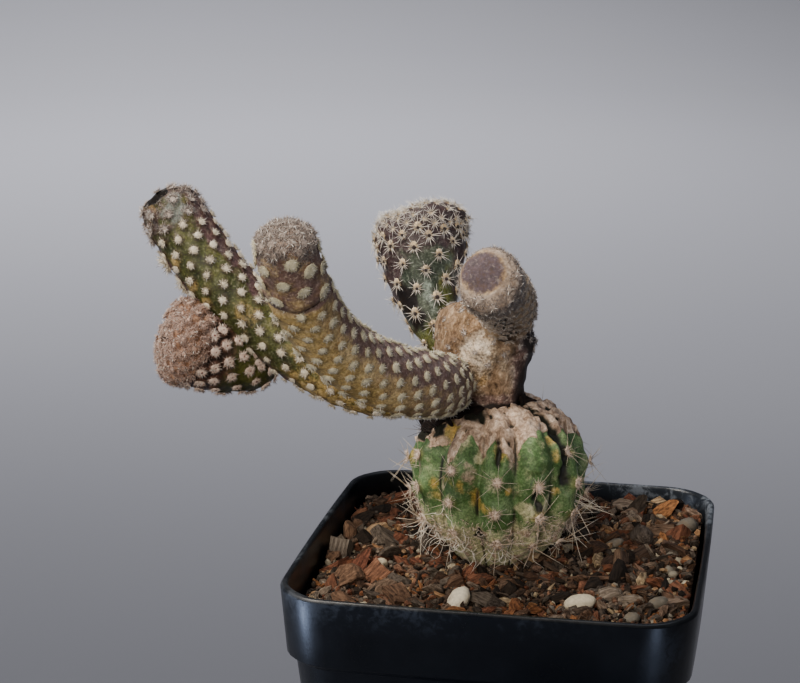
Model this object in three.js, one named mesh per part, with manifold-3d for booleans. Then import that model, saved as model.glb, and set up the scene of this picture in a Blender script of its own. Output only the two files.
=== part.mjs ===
// A puna clavarioides grafted on a ribbed green stock, in a square nursery pot.
// Millimetres, +Z up, origin at the centre of the pot's underside.

import * as THREE from 'three';
import { mergeVertices } from 'three/addons/utils/BufferGeometryUtils.js';
import { ConvexHull } from 'three/addons/math/ConvexHull.js';
import Module from 'manifold-3d';

// Driving dimensions

const pot = {
  height: 76,
  rimWidth: 74.5,
  bandHeight: 13,        // the stiffened band below the rim
  bandDraft: 0.9,        // how much the band narrows on each side
  bandStep: 1.4,         // the step from the band in to the body
  baseWidth: 57,
  cornerRadius: 9,
  baseCornerRadius: 7,
  wall: 1.3,
  floor: 1.6,
  sideBow: 0.6,          // how far the middle of a rim side stands out
  drainDiameter: 7,
  drainReach: 17,        // drain hole centre to the middle, along X and Y
};

const soil = {
  level: 71,             // height at the middle, without the mound
  riseRight: 0.03,       // it climbs towards +X and +Y
  riseBack: 0.025,
  moundHeight: 1.4,
  moundSpread: 15,
  crumble: 0.5,
  chipPitch: 8.2,        // one chip or pebble in each cell of a loose grid of this size
  chip: { length: 5, longer: 4.6, width: 3.4, wider: 2, height: 1.8, higher: 1.6 },
  pebble: { length: 3.4, longer: 2, width: 2.8, wider: 1.2, height: 2.2, higher: 0.8 },
  pebbleShare: 0.12,
  chunkWobble: 0.36,     // how far its corners stray
  tumble: 1.2,           // most that a chunk leans, in radians over both sides
  proud: 0.15,           // how far a chunk's middle lies above the soil, as a share of its height
  proudNearStock: -0.2,
  clearRing: 9,          // no chunks this close to the stock's axis, and low ones to the next ring
  lowRing: 20,
};

const stock = {
  x: -3,
  y: 5.5,
  neckBottom: 56,
  ribs: 12,
  furrowDepth: 1.9,
  turned: 0.13,          // the first rib's angle from +X
  ribsFrom: [70, 78],    // heights over which the furrows deepen, and fade again
  ribsTo: [97, 104],
  areoleRows: [78.2, 83, 88, 93.5, 98],
  bareRows: [57, 61, 66, 70, 73.5, 75.6, 80.4, 85.4, 90.8, 95.8, 100.4, 102, 105.6],
  spineLength: 3.4,
  soilRoom: 3.2,         // spines keep this far above the soil
  corkFrom: 98,          // the corky top, dented at random
  corkDent: 0.8,
};

const seatGap = 0.45;    // between pieces that are grown or pressed together
const wallGap = 0.35;    // between the pot and what fills it
const areoleSpacing = 3.35;
const spineWidth = 0.75; // half width of a woolly areole, which carries the spines

// Stems: each row is a point of the centre line and the radius there, from the root to the tip

const stems = {
  trunk: {
    rows: [
      [-4.8, 4.8, 98.5, 5.6], [-4.8, 5.2, 101.5, 5.9], [-5.2, 6, 106, 7.2],
      [-6, 7, 110.5, 9.3], [-6.2, 7.8, 114, 9.6], [-5.6, 9, 117.3, 8.3], [-5.2, 10, 119.6, 7],
    ],
    rootCap: 2, tipCap: 3,
  },
  frontArm: {
    rows: [
      [-12, 2.2, 106, 5], [-12.4, -5.6, 107.4, 5.5], [-14, -14.2, 109.8, 5.8],
      [-19, -24.3, 113.9, 5.8], [-24, -33.2, 119.8, 5.6], [-27, -41.3, 127, 5.3],
      [-28.5, -49, 135.2, 5.3],
    ],
    rootCap: 3, tipCap: 1.4,
  },
  frontTip: {
    rows: [
      [-28.4, -48.6, 134.8, 5.2], [-28.7, -51.4, 138.2, 5.6], [-28.8, -54, 142, 5.6],
      [-28.6, -56.2, 146.8, 5],
    ],
    rootCap: 1, tipCap: 2.8,
  },
  leftArm: {
    rows: [
      [-6, 7.4, 108.4, 4.6], [-13, 8.6, 105.4, 4.9], [-21.5, 9.4, 102.4, 5.2],
      [-30.6, 9.4, 102.2, 5.4], [-41.4, 9.5, 107, 5.5], [-50.5, 9.5, 113.6, 5.7],
      [-57.3, 9.7, 119.8, 6], [-63, 10.4, 126.4, 6.1], [-67.4, 11.2, 132.6, 6],
      [-70.8, 11.8, 138.4, 5],
    ],
    rootCap: 3, tipCap: 3,
  },
  leftBud: {
    rows: [
      [-49.6, 15, 107, 4.6], [-53.4, 13, 106, 6.6], [-57.6, 10, 106.8, 7.4],
      [-61.8, 7, 108.8, 8], [-65, 4.6, 110.6, 7.8], [-67.8, 2.6, 111.8, 6.6],
    ],
    rootCap: 4, tipCap: 2.6,
  },
  backClub: {
    rows: [
      [-13, 10.6, 106.4, 2.4], [-15.4, 12.6, 109.6, 2.8], [-18, 16, 115.4, 5],
      [-19.6, 18.6, 119.6, 6.5], [-21, 21.8, 125.8, 8.4], [-21.9, 23.9, 130.4, 8.9],
      [-21.9, 25.4, 134, 7.9],
    ],
    rootCap: 2, tipCap: 2.6,
  },
  rightClub: {
    rows: [
      [-3.8, 11, 113.4, 4], [-2.2, 6, 117, 4.7], [-0.6, -2, 121.2, 5], [0.4, -11, 125, 5.1],
      [1, -22.5, 129.1, 5.2], [1.5, -34, 133.1, 5.3], [1.7, -43.2, 136.6, 5.2],
    ],
    rootCap: 3, tipCap: 1.6,
  },
  stock: {
    rows: [
      [stock.x, stock.y, stock.neckBottom, 4], [stock.x, stock.y, 64, 4.6],
      [stock.x, stock.y, 70, 7.2], [stock.x, stock.y, 76, 12.4], [stock.x, stock.y, 81, 15.2],
      [stock.x, stock.y, 88, 16.5], [stock.x, stock.y, 94, 15.8], [stock.x, stock.y, 99, 12.7],
      [stock.x, stock.y, 102.8, 7.6],
    ],
    rootCap: 2, tipCap: 2.6,
  },
};

// Colours and finishes

const finishes = {
  pot: { color: 0x1c1f22, roughness: 0.42, metalness: 0 },
  substrate: { color: 0x5e4130, roughness: 0.95, metalness: 0 },
  stock: { color: 0x5f7a45, roughness: 0.6, metalness: 0 },
  trunk: { color: 0xb0875e, roughness: 0.8, metalness: 0 },
  arm: { color: 0x6c6142, roughness: 0.6, metalness: 0 },
  bud: { color: 0x9c7a66, roughness: 0.85, metalness: 0 },
  club: { color: 0x4d5548, roughness: 0.6, metalness: 0 },
};

// Small helpers

const goldenAngle = Math.PI * (3 - Math.sqrt(5));

function seededRandom(seed) {
  let state = seed;
  return () => {
    state = (state + 0x6d2b79f5) | 0;
    let mixed = Math.imul(state ^ (state >>> 15), 1 | state);
    mixed = (mixed + Math.imul(mixed ^ (mixed >>> 7), 61 | mixed)) ^ mixed;
    return ((mixed ^ (mixed >>> 14)) >>> 0) / 4294967296;
  };
}

function geometryFrom(points, triangles) {
  const geometry = new THREE.BufferGeometry();
  const positions = points.flatMap((point) => [point.x, point.y, point.z]);
  geometry.setAttribute('position', new THREE.Float32BufferAttribute(positions, 3));
  geometry.setIndex(triangles.flat());
  return geometry;
}

const manifoldLibrary = await Module();
manifoldLibrary.setup();

// Positions only, with the vertices that coincide joined
function bareGeometry(geometry) {
  const bare = geometry.clone();
  bare.deleteAttribute('normal');
  bare.deleteAttribute('uv');
  return mergeVertices(bare, 1e-5);
}

function solidFrom(geometry) {
  const merged = bareGeometry(geometry);
  return new manifoldLibrary.Manifold(new manifoldLibrary.Mesh({
    numProp: 3,
    vertProperties: Float32Array.from(merged.attributes.position.array),
    triVerts: Uint32Array.from(merged.index.array),
  }));
}

function geometryFromSolid(solid) {
  const mesh = solid.getMesh();
  const geometry = new THREE.BufferGeometry();
  geometry.setAttribute('position', new THREE.BufferAttribute(mesh.vertProperties, 3));
  geometry.setIndex(new THREE.BufferAttribute(mesh.triVerts, 1));
  return geometry;
}

// The largest body of a solid, so that no loose scrap of a cut spine stays
function largestBody(solid) {
  return solid.decompose().reduce((best, body) => (body.volume() > best.volume() ? body : best));
}

// Stems: a round skin along a curved centre line

const profileSteps = 360;

function growStem({ rows, rootCap, tipCap }) {
  const axis = new THREE.CatmullRomCurve3(rows.map(([x, y, z]) => new THREE.Vector3(x, y, z)));
  const girth = new THREE.CatmullRomCurve3(rows.map((row) => new THREE.Vector3(row[3], 0, 0)));
  const length = axis.getLength();
  const frames = axis.computeFrenetFrames(profileSteps);

  function capped(distance, cap) {
    const inward = Math.min(Math.max(distance, 0) / cap, 1);
    return Math.sqrt(1 - (1 - inward) ** 2);
  }

  // stretch runs from 0 at the root's pole to 1 at the tip's pole
  function profile(stretch) {
    const along = length * (1 - Math.cos(Math.PI * stretch)) / 2;
    const share = Math.min(Math.max(along / length, 0), 1);
    const radius = girth.getPoint(axis.getUtoTmapping(share)).x
      * capped(along, rootCap) * capped(length - along, tipCap);
    return { share, along, radius };
  }

  const samples = [];
  for (let step = 0; step <= profileSteps; step += 1) {
    samples.push(profile(0.004 + 0.992 * step / profileSteps));
  }
  // turn is the angle-keeping latitude, area the skin up to here
  samples[0].turn = 0;
  samples[0].area = 0;
  for (let step = 1; step <= profileSteps; step += 1) {
    const [before, here] = [samples[step - 1], samples[step]];
    const slant = Math.hypot(here.along - before.along, here.radius - before.radius);
    const middle = (here.radius + before.radius) / 2;
    here.turn = before.turn + slant / middle;
    here.area = before.area + 2 * Math.PI * middle * slant;
  }
  const middleTurn = samples[Math.round(profileSteps / 2)].turn;

  function at(position) {
    const step = Math.min(Math.floor(position), profileSteps - 1);
    const part = position - step;
    const [low, high] = [samples[step], samples[step + 1]];
    const mix = (key) => THREE.MathUtils.lerp(low[key], high[key], part);
    const place = { radius: mix('radius'), turn: mix('turn') - middleTurn, along: mix('along') };
    const frame = Math.round(mix('share') * profileSteps);
    place.centre = axis.getPointAt(mix('share'));
    place.tangent = frames.tangents[frame];
    place.normal = frames.normals[frame];
    place.binormal = frames.binormals[frame];
    const slant = Math.hypot(high.along - low.along, high.radius - low.radius);
    place.slopeAlong = (high.along - low.along) / slant;
    place.slopeOut = (high.radius - low.radius) / slant;
    return place;
  }

  return { axis, length, samples, at };
}

// A spot of skin: its point, outward normal, and the two directions along the skin
function skinSpot(stem, position, angle) {
  const place = stem.at(position);
  const radial = place.normal.clone().multiplyScalar(Math.cos(angle))
    .addScaledVector(place.binormal, Math.sin(angle));
  const around = place.normal.clone().multiplyScalar(-Math.sin(angle))
    .addScaledVector(place.binormal, Math.cos(angle));
  const upward = place.tangent.clone().multiplyScalar(place.slopeAlong)
    .addScaledVector(radial, place.slopeOut);
  const outward = around.clone().cross(upward);
  const point = place.centre.clone().addScaledVector(radial, place.radius);
  return { ...place, angle, point, around, upward, outward };
}

// Sites spread evenly over a skin in a golden-angle spiral; spacingAt gives their distance
function spiralSites(stem, spacingAt) {
  const sites = [];
  let count = 0;
  let next = 0.5;
  for (let step = 1; step <= profileSteps; step += 1) {
    const band = stem.samples[step].area - stem.samples[step - 1].area;
    const spacing = spacingAt(stem.samples[step].along / stem.length);
    const gained = band / (spacing ** 2 * Math.sqrt(3) / 2);
    while (count + gained >= next) {
      const position = step - 1 + (next - count) / gained;
      sites.push({ position, angle: sites.length * goldenAngle });
      next += 1;
    }
    count += gained;
  }
  return sites;
}

// The closed skin through all sites. A site with spines gets a small raised ring on the skin,
// and each triangle of the ring is drawn out to a spine's tip. The triangles between the sites
// are those of the convex hull of the same sites on a globe, whose latitude keeps the angles.
function skinGeometry(stem, sites, lift = 0) {
  const globe = [];
  const points = [];
  const owners = [];
  const spots = sites.map((site) => skinSpot(stem, site.position, site.angle));
  const spinesDrawn = sites.map(() => 0);

  function addPoint(index, sideways, upward, height, owner) {
    const spot = spots[index];
    const angle = spot.angle + sideways / spot.radius;
    const turn = spot.turn + upward / spot.radius;
    const width = 1 / Math.cosh(turn);
    globe.push(new THREE.Vector3(Math.cos(angle) * width, Math.sin(angle) * width, Math.tanh(turn)));
    points.push(spot.point.clone().addScaledVector(spot.around, sideways)
      .addScaledVector(spot.upward, upward).addScaledVector(spot.outward, height));
    owners.push(owner);
  }

  sites.forEach((site, index) => {
    const ground = lift - (site.sunk ?? 0);
    if (!site.spines) {
      addPoint(index, 0, 0, ground, -1);
      return;
    }
    const ringSides = Math.max(site.spines.length, 3);
    for (let side = 0; side < ringSides; side += 1) {
      const bearing = site.bearing + side / ringSides * 2 * Math.PI;
      addPoint(index, Math.cos(bearing) * site.width, Math.sin(bearing) * site.width,
        ground + site.raise, index);
    }
    if (site.spines.length > 1) addPoint(index, 0, 0, ground + site.raise * 1.6, index);
  });

  function drawSpine(owner, corners) {
    const spot = spots[owner];
    const spine = sites[owner].spines[spinesDrawn[owner]];
    spinesDrawn[owner] += 1;
    const middle = corners.reduce((sum, corner) => sum.add(points[corner]), new THREE.Vector3())
      .divideScalar(3);
    const away = middle.clone().sub(spot.point).projectOnPlane(spot.outward);
    if (sites[owner].spines.length === 1) away.copy(spot.upward);
    return middle.addScaledVector(spot.outward, spine.length * Math.cos(spine.lean))
      .addScaledVector(away.normalize(), spine.length * Math.sin(spine.lean))
      .addScaledVector(spot.around, spine.sway * spine.length);
  }

  const numbers = new Map(globe.map((direction, number) => [direction, number]));
  const triangles = [];
  for (const face of new ConvexHull().setFromPoints(globe).faces) {
    const corners = [face.edge.tail().point, face.edge.head().point, face.edge.next.head().point]
      .map((direction) => numbers.get(direction));
    const owner = owners[corners[0]];
    if (owner < 0 || corners.some((corner) => owners[corner] !== owner)) {
      triangles.push(corners);
      continue;
    }
    const tip = points.push(drawSpine(owner, corners)) - 1;
    for (let side = 0; side < 3; side += 1) {
      triangles.push([corners[side], corners[(side + 1) % 3], tip]);
    }
  }
  return geometryFrom(points, triangles);
}

const grown = Object.fromEntries(Object.entries(stems).map(([name, stem]) => [name, growStem(stem)]));

// The bare skin of a stem, swollen by the gap that its neighbours keep to it
function sleeve(name) {
  const stem = grown[name];
  return solidFrom(skinGeometry(stem, spiralSites(stem, () => 2.4), seatGap));
}

// Whether a point lies on or next to another stem, where no spine has room
function crowded(point, neighbours, room) {
  return neighbours.some((name) => grown[name].samples.some((sample, step) => {
    if (step % 6) return false;
    const centre = grown[name].axis.getPointAt(sample.share);
    return centre.distanceTo(point) < sample.radius + room;
  }));
}

function soilHeight(x, y) {
  const reach = Math.hypot(x - stock.x, y - stock.y);
  return soil.level + soil.riseRight * x + soil.riseBack * y
    + soil.moundHeight * Math.exp(-((reach / soil.moundSpread) ** 2));
}

// Gives each site its spines, and leaves the crowded ones bare
function plantSpines(stem, sites, neighbours, seed, pattern) {
  const random = seededRandom(seed);
  for (const site of sites) {
    const spot = skinSpot(stem, site.position, site.angle);
    const plan = pattern(spot.along / stem.length, spot);
    const jitter = () => random() - 0.5;
    const spines = Array.from({ length: plan.count }, () => ({
      length: plan.length * (1 + 0.35 * jitter()),
      lean: plan.lean + 0.3 * jitter(),
      sway: 0.35 * jitter(),
    }));
    const bearing = random() * 2 * Math.PI;
    if (plan.count === 0 || crowded(spot.point, neighbours, plan.length + 0.6)) continue;
    Object.assign(site, { spines, bearing, width: plan.width, raise: plan.raise });
  }
  return sites;
}

// Pot: a thin moulded shell with a stiffened band, drained through four holes

const cornerSteps = 4;

function squareRing(halfWidth, radius, z, bow) {
  const ring = [];
  for (let corner = 0; corner < 4; corner += 1) {
    const start = corner * Math.PI / 2;
    const toCorner = start + Math.PI / 4;
    const reach = (halfWidth - radius) * Math.SQRT2;
    for (let step = 0; step <= cornerSteps; step += 1) {
      const angle = start + step / cornerSteps * Math.PI / 2;
      ring.push(new THREE.Vector3(reach * Math.cos(toCorner) + radius * Math.cos(angle),
        reach * Math.sin(toCorner) + radius * Math.sin(angle), z));
    }
    const side = start + Math.PI / 2;
    ring.push(new THREE.Vector3((halfWidth + bow) * Math.cos(side), (halfWidth + bow) * Math.sin(side), z));
  }
  return ring;
}

// Joins rings of equal count into a closed skin, with a flat cap on the first and the last
function loft(rings) {
  const count = rings[0].length;
  const points = rings.flat();
  const triangles = [];
  for (let ring = 0; ring + 1 < rings.length; ring += 1) {
    for (let step = 0; step < count; step += 1) {
      const low = ring * count + step;
      const lowNext = ring * count + (step + 1) % count;
      triangles.push([low, lowNext, lowNext + count], [low, lowNext + count, low + count]);
    }
  }
  for (const [ring, flip] of [[rings[0], true], [rings.at(-1), false]]) {
    const middle = points.length;
    const first = flip ? 0 : (rings.length - 1) * count;
    points.push(ring.reduce((sum, point) => sum.add(point), new THREE.Vector3()).divideScalar(count));
    for (let step = 0; step < count; step += 1) {
      const [a, b] = [first + step, first + (step + 1) % count];
      triangles.push(flip ? [middle, b, a] : [middle, a, b]);
    }
  }
  return geometryFrom(points, triangles);
}

const bandBottom = pot.height - pot.bandHeight;
const bandInset = 1.2;       // height over which the wall steps from the band to the body
const bodyTopHalf = pot.rimWidth / 2 - pot.bandDraft - pot.bandStep;

// Half width of the pot's outside at a height, and its corner radius and bow there
function outerHalf(z) {
  if (z >= bandBottom) {
    return pot.rimWidth / 2 - pot.bandDraft * (pot.height - z) / pot.bandHeight;
  }
  const bodyTop = bandBottom - bandInset;
  if (z >= bodyTop) return bodyTopHalf + pot.bandStep * (z - bodyTop) / bandInset;
  return THREE.MathUtils.lerp(pot.baseWidth / 2, bodyTopHalf, z / bodyTop);
}

function cornerAt(z) {
  return THREE.MathUtils.lerp(pot.baseCornerRadius, pot.cornerRadius, z / pot.height);
}

function bowAt(z) {
  return pot.sideBow * z / pot.height;
}

function outerRing(z, inset = 0) {
  return squareRing(outerHalf(z) - inset, cornerAt(z) - inset, z, bowAt(z));
}

// Inner wall, at wall thickness plus an extra inset; the inside steps a little above the outside
function innerRing(z, extra = 0) {
  const shifted = Math.max(z - 0.8, 0);
  const half = outerHalf(shifted) - pot.wall - extra;
  return squareRing(half, Math.max(cornerAt(z) - pot.wall - extra, 2), z, bowAt(z));
}

// The inside of the pot from the floor up; what fills it keeps a gap to wall and floor
function innerRings(gap) {
  const heights = [pot.floor + 1, bandBottom - bandInset + 0.6, bandBottom + 0.9, pot.height - 1.2];
  return [innerRing(pot.floor + gap, 1.2 + gap), ...heights.map((z) => innerRing(z, gap))];
}

function potGeometry() {
  const lip = 0.5;
  const outside = [0, 1].map((z) => outerRing(z, z ? 0 : 0.9));
  outside.push(outerRing(bandBottom - bandInset), outerRing(bandBottom), outerRing(pot.height - lip));
  const brow = outerRing(pot.height, lip);
  const inside = [innerRing(pot.height, -0.2), ...innerRings(0).reverse()];
  let solid = solidFrom(loft([...outside, brow, ...inside]));
  for (const x of [-pot.drainReach, pot.drainReach]) {
    for (const y of [-pot.drainReach, pot.drainReach]) {
      const drain = new THREE.CylinderGeometry(pot.drainDiameter / 2, pot.drainDiameter / 2, 8, 12);
      drain.rotateX(Math.PI / 2).translate(x, y, 0);
      solid = solid.subtract(solidFrom(drain));
    }
  }
  return geometryFromSolid(solid);
}

// Substrate: a filled block under a crumbly top, with bark chips and pebbles sunk in it

function chunkGeometry(random, length, width, height, round) {
  const chunk = round ? new THREE.IcosahedronGeometry(0.5, 0) : new THREE.BoxGeometry(1, 1, 1);
  const merged = bareGeometry(chunk);
  const corner = merged.attributes.position;
  const wobble = () => 1 + soil.chunkWobble * (random() - 0.5);
  for (let index = 0; index < corner.count; index += 1) {
    corner.setXYZ(index, corner.getX(index) * wobble(), corner.getY(index) * wobble(),
      corner.getZ(index) * wobble());
  }
  return merged.scale(length, width, height);
}

function substrateGeometry() {
  const random = seededRandom(11);
  const filling = innerRings(wallGap);
  const edge = innerRing(soil.level, wallGap + 0.1);
  const onSoil = (point, share) => {
    const x = THREE.MathUtils.lerp(stock.x, point.x, share);
    const y = THREE.MathUtils.lerp(stock.y, point.y, share);
    const crumble = share > 0.99 ? 0 : soil.crumble * (random() - 0.5) * 2;
    return new THREE.Vector3(x, y, soilHeight(x, y) + crumble);
  };
  const surface = [1, 0.66, 0.3].map((share) => edge.map((point) => onSoil(point, share)));
  let solid = solidFrom(loft([...filling.slice(0, -1), ...surface]));
  const room = solidFrom(loft(filling));

  const half = innerRing(soil.level).at(-1).length();
  const cells = Math.floor(2 * half / soil.chipPitch);
  const inCell = (cell) => ((cell + 0.5 + 0.6 * (random() - 0.5)) / cells * 2 - 1) * half;
  for (let cell = 0; cell < cells ** 2; cell += 1) {
    const x = inCell(cell % cells);
    const y = inCell(Math.floor(cell / cells));
    const round = random() < soil.pebbleShare;
    const size = round ? soil.pebble : soil.chip;
    const length = size.length + size.longer * random() ** 1.5;
    const width = size.width + size.wider * random();
    const height = size.height + size.higher * random();
    const chunk = chunkGeometry(random, length, width, height, round);
    chunk.rotateX((random() - 0.5) * soil.tumble).rotateY((random() - 0.5) * soil.tumble);
    chunk.rotateZ(random() * 2 * Math.PI);
    const fromStock = Math.hypot(x - stock.x, y - stock.y);
    if (fromStock < soil.clearRing) continue;
    const proud = fromStock < soil.lowRing ? soil.proudNearStock : soil.proud;
    chunk.translate(x, y, soilHeight(x, y) + proud * height);
    solid = solid.add(solidFrom(chunk).intersect(room));
  }
  return geometryFromSolid(largestBody(solid.subtract(sleeve('stock'))));
}

// Stock: a ribbed ball on a neck that stands in the substrate

function stockGeometry() {
  const stem = grown.stock;
  const random = seededRandom(23);
  const top = stock.neckBottom + stem.length - 0.05;
  const positionOf = (height) => stem.samples.findIndex((sample) => sample.along
    >= Math.min(height, top) - stock.neckBottom);
  const arms = ['trunk', 'frontArm', 'leftArm'];
  const hasRoom = (spot) => {
    const tip = spot.point.clone().addScaledVector(spot.outward, stock.spineLength * 0.6);
    return tip.z > soilHeight(tip.x, tip.y) + stock.soilRoom && !crowded(tip, arms, 2);
  };

  const sites = [];
  for (const height of [...stock.bareRows, ...stock.areoleRows]) {
    const position = positionOf(height);
    const ribbed = THREE.MathUtils.smoothstep(height, ...stock.ribsFrom)
      * (1 - THREE.MathUtils.smoothstep(height, ...stock.ribsTo));
    const slots = ribbed > 0.02 ? 2 * stock.ribs : stock.ribs;
    for (let slot = 0; slot < slots; slot += 1) {
      const angle = (slot / slots) * 2 * Math.PI + stock.turned;
      const crest = slots === stock.ribs || slot % 2 === 0;
      const ragged = height > stock.corkFrom ? stock.corkDent * random() : 0;
      const site = { position, angle, sunk: ragged + (crest ? 0 : stock.furrowDepth * ribbed) };
      sites.push(site);
      const areole = crest && stock.areoleRows.includes(height);
      if (!areole || !hasRoom(skinSpot(stem, position, angle))) continue;
      const reach = stock.spineLength * (height > 90 ? 0.6 : 1);
      site.bearing = random() * Math.PI;
      site.width = 0.95;
      site.raise = 0.5;
      site.spines = Array.from({ length: 4 }, () => ({
        length: reach * (0.8 + 0.4 * random()), lean: 0.95, sway: 0.3 * (random() - 0.5),
      }));
    }
  }
  let solid = solidFrom(skinGeometry(stem, sites));
  for (const name of arms) solid = solid.subtract(sleeve(name));
  return geometryFromSolid(largestBody(solid));
}

// Scion: the trunk segment and the club-shaped segments that grow from it

function segmentGeometry(name, { seed, spacing, spines, cutBy, near }) {
  const stem = grown[name];
  const sites = plantSpines(stem, spiralSites(stem, spacing), near, seed, spines);
  let solid = solidFrom(skinGeometry(stem, sites));
  for (const neighbour of cutBy) solid = solid.subtract(sleeve(neighbour));
  return largestBody(solid);
}

const armSpines = () => ({ count: 1, length: 0.9, lean: 0.25, width: spineWidth, raise: 0.16 });
const evenly = () => areoleSpacing;

const segments = {
  scion_trunk: {
    stem: 'trunk', finish: finishes.trunk, seed: 31, cutBy: [],
    near: ['stock', 'frontArm', 'leftArm', 'backClub', 'rightClub'],
    spacing: () => 3.8,
    spines: (share) => ({ count: share > 0.45 ? 1 : 0, length: 0.6, lean: 0.2, width: 0.8, raise: 0.2 }),
  },
  scion_front_arm: {
    stem: 'frontArm', finish: finishes.arm, seed: 37, cutBy: ['trunk'],
    near: ['trunk', 'stock', 'leftArm', 'frontTip', 'rightClub'], spacing: evenly, spines: armSpines,
  },
  scion_front_tip: {
    stem: 'frontTip', finish: finishes.arm, seed: 41, cutBy: ['frontArm'], near: ['frontArm'],
    spacing: (share) => (share > 0.85 ? 2.5 : areoleSpacing),
    spines: () => ({ count: 1, length: 1.2, lean: 0.25, width: 0.85, raise: 0.2 }),
  },
  scion_left_arm: {
    stem: 'leftArm', finish: finishes.arm, seed: 43, cutBy: ['trunk', 'frontArm'],
    near: ['trunk', 'stock', 'frontArm', 'leftBud', 'backClub'], spacing: evenly, spines: armSpines,
  },
  scion_left_bud: {
    stem: 'leftBud', finish: finishes.bud, seed: 47, cutBy: ['leftArm'], near: ['leftArm'],
    spacing: (share) => (share > 0.78 ? 2.3 : 3.5),
    spines: (share) => ({ count: 1, length: share > 0.78 ? 0.9 : 1, lean: 0.15, width: 0.8, raise: 0.3 }),
  },
  scion_back_club: {
    stem: 'backClub', finish: finishes.club, seed: 53, cutBy: ['trunk', 'leftArm'],
    near: ['trunk', 'leftArm'],
    spacing: (share) => THREE.MathUtils.lerp(4.7, 2.6, THREE.MathUtils.smoothstep(share, 0.72, 0.92)),
    spines: (share) => (share > 0.86
      ? { count: 1, length: 1.3, lean: 0.8, width: 0.5, raise: 0.3 }
      : { count: 4, length: 2, lean: 1.2, width: 0.7, raise: 0.45 }),
  },
  scion_right_club: {
    stem: 'rightClub', finish: finishes.bud, seed: 59, cutBy: ['trunk'], near: ['trunk', 'frontArm'],
    spacing: (share) => (share > 0.93 ? 2.4 : areoleSpacing), spines: armSpines,
  },
};

// The dried crater on the upper side of the left arm's tip
const scar = { x: -73, y: 12, z: 140, radius: 3.6 };

function scarred(solid) {
  const crater = new THREE.IcosahedronGeometry(scar.radius, 1).translate(scar.x, scar.y, scar.z);
  return largestBody(solid.subtract(solidFrom(crater)));
}

// Assembly

const plant = new THREE.Group();

function addPiece(name, geometry, finish) {
  const piece = new THREE.Mesh(geometry, new THREE.MeshStandardMaterial(finish));
  piece.name = name;
  plant.add(piece);
}

addPiece('pot', potGeometry(), finishes.pot);
addPiece('substrate', substrateGeometry(), finishes.substrate);
addPiece('rootstock', stockGeometry(), finishes.stock);
for (const [name, segment] of Object.entries(segments)) {
  const solid = segmentGeometry(segment.stem, segment);
  const finished = name === 'scion_left_arm' ? scarred(solid) : solid;
  addPiece(name, geometryFromSolid(finished), segment.finish);
}

export default plant;
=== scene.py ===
import math
import bmesh
import bpy
import numpy as np
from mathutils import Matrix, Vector, kdtree, noise


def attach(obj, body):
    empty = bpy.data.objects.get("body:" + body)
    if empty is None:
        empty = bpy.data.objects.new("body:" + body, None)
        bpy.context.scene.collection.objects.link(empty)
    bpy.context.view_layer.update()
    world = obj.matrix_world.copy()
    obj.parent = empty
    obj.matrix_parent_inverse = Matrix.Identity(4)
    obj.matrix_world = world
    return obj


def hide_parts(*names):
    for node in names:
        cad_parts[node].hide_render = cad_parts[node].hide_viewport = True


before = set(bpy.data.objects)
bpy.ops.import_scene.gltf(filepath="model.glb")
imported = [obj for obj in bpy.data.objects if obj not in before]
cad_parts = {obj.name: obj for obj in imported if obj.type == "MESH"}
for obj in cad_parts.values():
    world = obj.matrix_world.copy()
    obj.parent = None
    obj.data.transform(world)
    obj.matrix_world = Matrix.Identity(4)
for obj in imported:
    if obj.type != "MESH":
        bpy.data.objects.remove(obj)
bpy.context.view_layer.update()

# A puna clavarioides grafted on a ribbed green stock, in a square black nursery pot.
# Sizes are in millimetres and become metres when a mesh is made.

mm = 0.001
goldenAngle = math.pi * (3 - math.sqrt(5))


# Small helpers

def deselectAll():
    if bpy.context.object and bpy.context.object.mode != "OBJECT":
        bpy.ops.object.mode_set(mode="OBJECT")
    bpy.ops.object.select_all(action="DESELECT")


def pickOnly(piece):
    deselectAll()
    piece.select_set(True)
    bpy.context.view_layer.objects.active = piece


def editMode(on):
    bpy.ops.object.mode_set(mode="EDIT" if on else "OBJECT")


def selectWhere(piece, test, kind="verts"):  # in edit mode: picks what the test says, by its place
    editMode(True)
    bpy.ops.mesh.select_mode(type={"verts": "VERT", "edges": "EDGE", "faces": "FACE"}[kind])
    bpy.ops.mesh.select_all(action="DESELECT")
    shape = bmesh.from_edit_mesh(piece.data)
    for part in getattr(shape, kind):
        if test(part):
            part.select = True
    shape.select_flush_mode()
    bmesh.update_edit_mesh(piece.data)


def applyModifiers(piece):
    pickOnly(piece)
    for modifier in list(piece.modifiers):
        bpy.ops.object.modifier_apply(modifier=modifier.name)


def readPoints(mesh):
    points = np.empty(len(mesh.vertices) * 3)
    mesh.vertices.foreach_get("co", points)
    return points.reshape(-1, 3)


def writePoints(mesh, points):
    mesh.vertices.foreach_set("co", np.asarray(points, float).ravel())
    mesh.update()


def addTint(mesh, name, values):  # one number per point, for the materials
    layer = mesh.attributes.new(name, "FLOAT", "POINT")
    layer.data.foreach_set("value", np.asarray(values, np.float32))


def table(columns, rows):  # rows of values, named by their columns
    return {name: dict(zip(columns.split(), row)) for name, row in rows.items()}


def unit(vectors):
    return vectors / np.maximum(np.linalg.norm(vectors, axis=-1, keepdims=True), 1e-12)


def smoothStep(values, low, high):
    share = np.clip((np.asarray(values, float) - low) / (high - low), 0, 1)
    return share * share * (3 - 2 * share)


def lumps(points, size, seed):  # soft noise from -1 to 1, with lumps of this size
    shift = Vector((seed * 3.7, seed * 1.9, seed * 5.3))
    return np.array([noise.noise(Vector(point) / size + shift) for point in points])


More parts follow.
